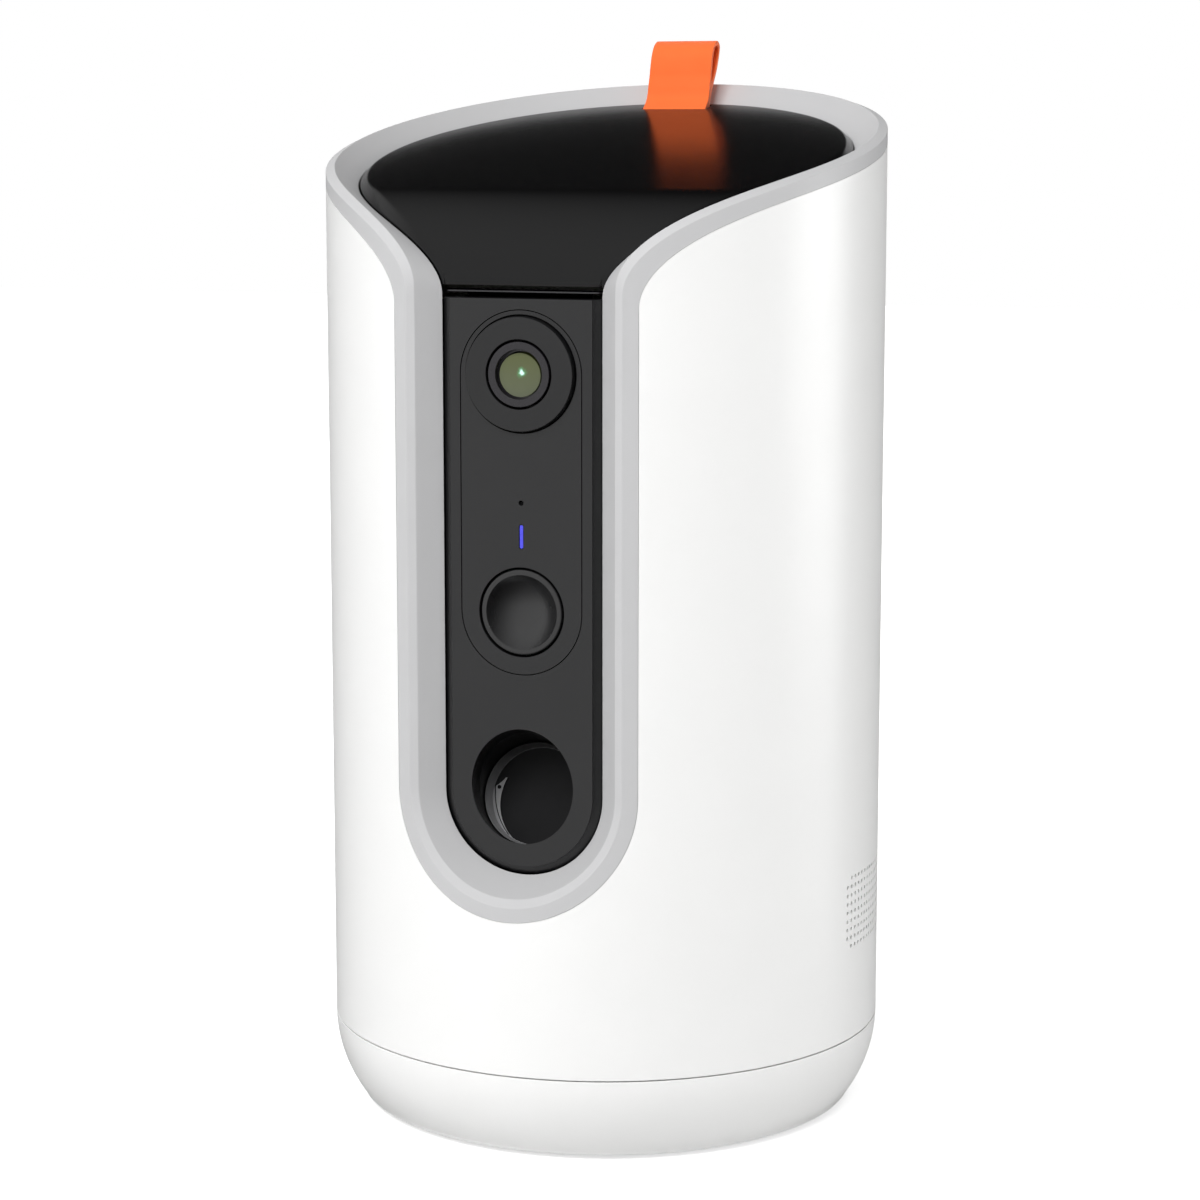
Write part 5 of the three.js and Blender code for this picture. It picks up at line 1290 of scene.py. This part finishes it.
def lid_cover():
    band = 1 - LID_BAND / LID_LINE["radius"]
    inner_rings = lid_rings(band)
    low = LID_BOTTOM - 2 * OVERRUN
    meridians = []
    for point, narrow in lid_edge():
        rings = [point * share for share in [band + (1 - band) * 0.85 * narrow] + inner_rings]
        rings = [Vector((ring.x, ring.y, lid_surface(ring.y))) for ring in rings]
        corners = [Vector((point.x, point.y, low)), point] + rings
        corners += [Vector((0, 0, lid_surface(0))), Vector((0, 0, low))]
        meridians.append(eased(corners, [0, LID_EDGE_ROUND, LID_CREASE] + [0] * (len(rings) + 1)))
    lid = loft("lid_cover_moulding", meridians)
    below = block(-BODY_RADIUS, BODY_RADIUS, -BODY_RADIUS, BODY_RADIUS, 0, LID_BOTTOM + GAP)
    half = TAB_WIDTH / 2 + GAP
    front, back = TAB_PLACE - GAP, TAB_PLACE + TAB_BASE_SHARE * TAB_DEPTH + GAP
    foot = lid_plane_at(TAB_PLACE) - TAB_FOOT - GAP
    return carve(lid, lid_hollow(), below, block(-half, half, front, back, foot, SHELL_TOP))


# Black ABS from a mirror polished tool: nearly black, with clear but soft reflections.
mirror = {"Specular IOR Level": 0.3}
gloss_abs = moulded("black high gloss ABS", "#070708", "#060606", 0.2, 1.2, 0.0006, 25, mirror)
finish_piece(lid_cover(), gloss_abs, "lid", "lid_black", "lid_cover")

# Pull tab: a soft orange silicone strap, folded over into a leaning loop and glued into the lid's pocket.

TAB_TOP_WIDTH = 14.5
TAB_OUTLINE_SHARES = (
    ((0, 0), (0.222, 0.149), (0.308, 0.344), (0.368, 0.487), (0.4, 0.6), (0.47, 0.773))
    + ((0.581, 0.909), (0.726, 0.981), (0.863, 1), (0.955, 0.968), (1, 0.903), (0.932, 0.766))
    + ((0.786, 0.571), (0.581, 0.377), (0.42, 0.2), (0.32, 0.06))
)
TAB_HOLE_SHARES = (
    ((0.436, 0.416), (0.487, 0.584), (0.564, 0.766), (0.658, 0.877), (0.786, 0.929))
    + ((0.889, 0.909), (0.91, 0.857), (0.846, 0.76), (0.709, 0.604), (0.538, 0.448))
)


def smooth_line(points, closed, steps=5):
    """A smooth line through points, open or closed, by the rule that each tangent follows its two
    neighbours."""
    points = [Vector(point) for point in points]
    if closed:
        padded = points[-1:] + points + points[:2]
    else:
        padded = points[:1] + points + points[-1:]
    line = []
    for a, b, c, d in zip(padded, padded[1:], padded[2:], padded[3:]):
        for k in range(steps):
            t = k / steps
            bend = (2 * a - 5 * b + 4 * c - d) * t**2 + (3 * b - 3 * c + d - a) * t**3
            line.append(((c - a) * t + bend) / 2 + b)
    return line if closed else line + [points[-1]]


def pull_tab():
    base = lid_plane_at(TAB_PLACE)

    def place(v, w, u):
        taper = 1 + (TAB_TOP_WIDTH / TAB_WIDTH - 1) * max(w, 0)
        return u * taper, TAB_PLACE + v * TAB_DEPTH, base + w * TAB_HEIGHT

    foot = -TAB_FOOT / TAB_HEIGHT
    outline = smooth_line(TAB_OUTLINE_SHARES, closed=False)
    outline += [Vector((TAB_BASE_SHARE, foot)), Vector((0, foot))]
    tab = prism("pull_tab_silicone", outline, -TAB_WIDTH / 2, TAB_WIDTH / 2, place)
    carve(tab, prism("tool", smooth_line(TAB_HOLE_SHARES, closed=True), -TAB_WIDTH, TAB_WIDTH, place))
    return soften(tab, 0.2, 3, 45)


# Orange silicone: saturated and soft, satin rather than shiny, with a dusty sheen along its edges.
dusty = {"Sheen Weight": 0.15, "Sheen Roughness": 0.5}
orange_silicone = moulded("orange satin silicone", "#ff7433", "#fb6e2e", 0.5, 0.5, 0.006, 8, dusty)
finish_piece(pull_tab(), orange_silicone, "lid", "tab_orange", "pull_tab")

# Studio: a plain white floor and background, wide soft lights high in front, at the right and behind, and
# a dim room above, so that the white drum stays just under white and the black lid stays black.

FLOOR_HALF = 3000
GLOW_START = 100
GLOW_END = 300
BRIGHT_SIDE = Vector((-0.6, -0.75, 0.28))
LIGHT_DISTANCE = 1500
CENTRE = Vector((0, 0, 110))


def studio_floor():
    corners = [(x * FLOOR_HALF, y * FLOOR_HALF, 0) for x, y in ((-1, -1), (1, -1), (1, 1), (-1, 1))]
    floor = shape("studio_floor", corners, [(0, 1, 2, 3)])
    material, tree, place = new_material("white paper sweep")
    paper = add_node(tree, "ShaderNodeBsdfDiffuse", {"Color": linear("#e6e6e6")})
    reach = add_node(tree, "ShaderNodeVectorMath", {"operation": "LENGTH", 0: place}, "Value")
    limits = {"From Min": GLOW_START * MM, "From Max": GLOW_END * MM, "To Min": 0.6, "To Max": 1.1}
    rise = add_node(tree, "ShaderNodeMapRange", {"Value": reach, **limits})
    glow = add_node(tree, "ShaderNodeEmission", {"Strength": rise})
    both = add_node(tree, "ShaderNodeAddShader", {0: paper, 1: glow})
    camera_ray = add_node(tree, "ShaderNodeLightPath", output="Is Camera Ray")
    seen = add_node(tree, "ShaderNodeMixShader", {0: camera_ray, 1: paper, 2: both})
    add_node(tree, "ShaderNodeOutputMaterial", {"Surface": seen})
    floor.data.materials.append(material)
    floor.visible_glossy = False


def studio_room():
    """White where the camera looks past the object. The rest of the room is bright low down at the front
    left and falls off to a dim ceiling."""
    world = bpy.data.worlds.new("studio room")
    bpy.context.scene.world = world
    world.use_nodes = True
    tree = world.node_tree
    tree.nodes.clear()
    way = add_node(tree, "ShaderNodeTexCoord", output="Generated")
    side = {"operation": "DOT_PRODUCT", 0: way, 1: BRIGHT_SIDE.normalized()}
    facing = add_node(tree, "ShaderNodeVectorMath", side, "Value")
    height = add_node(tree, "ShaderNodeSeparateXYZ", {"Vector": way}, "Z")
    shares = []
    for value, low, high, dim in ((facing, -0.25, 0.95, 0.01), (height, -0.75, -0.3, 0.6)):
        limits = {"From Min": low, "From Max": high, "To Min": dim, "interpolation_type": "SMOOTHSTEP"}
        shares.append(add_node(tree, "ShaderNodeMapRange", {"Value": value, **limits}))
    shine = add_node(tree, "ShaderNodeMath", {"operation": "MULTIPLY", 0: shares[0], 1: shares[1]})
    rays = add_node(tree, "ShaderNodeLightPath").node.outputs
    straight = {"operation": "MAXIMUM", 0: rays["Is Camera Ray"], 1: rays["Is Transmission Ray"]}
    seen = add_node(tree, "ShaderNodeMath", straight)
    soft = add_node(tree, "ShaderNodeMix", {0: rays["Is Glossy Ray"], 2: 0.3, 3: shine})
    level = add_node(tree, "ShaderNodeMix", {0: seen, 2: soft, 3: 1.0})
    light = add_node(tree, "ShaderNodeBackground", {"Color": (1, 1, 1, 1), "Strength": level})
    add_node(tree, "ShaderNodeOutputWorld", {"Surface": light})


def aim(thing, place, way):
    """Puts a light or the camera at a place, turned to look along a direction."""
    bpy.context.scene.collection.objects.link(thing)
    thing.location = place * MM
    thing.rotation_mode = "QUATERNION"
    thing.rotation_quaternion = way.to_track_quat("-Z", "Y")


def soft_light(name, azimuth, elevation, size, power, mirrored):
    """A square soft light aimed at the drum. Azimuth 0 is at the front, and 90 at +X. A mirrored one also
    shows as a highlight."""
    lamp = bpy.data.lights.new(name, "AREA")
    lamp.size = size * MM
    lamp.energy = power
    light = bpy.data.objects.new(name, lamp)
    light.visible_glossy = mirrored
    turn, rise = math.radians(azimuth), math.radians(elevation)
    back = Vector((math.sin(turn) * math.cos(rise), -math.cos(turn) * math.cos(rise), math.sin(rise)))
    aim(light, CENTRE + back * LIGHT_DISTANCE, -back)


studio_floor()
studio_room()
soft_light("key_light", -6, 46, 900, 20.8, False)
soft_light("right_light", 113, -2, 760, 13.8, True)
soft_light("back_light", 215, 25, 900, 9.0, False)

# Camera: the photograph's view, from a little above and to the right of the front, with a long lens.

CAMERA_PLACE = Vector((223.89, -622.96, 210.91))
CAMERA_AIM = Vector((-0.3362, 0.9294, -0.1519))

lens = bpy.data.cameras.new("photograph_view")
lens.lens = 91.685
lens.sensor_width = 36
camera = bpy.data.objects.new("photograph_view", lens)
aim(camera, CAMERA_PLACE, CAMERA_AIM)
bpy.context.scene.camera = camera
bpy.context.scene.view_settings.view_transform = "Standard"
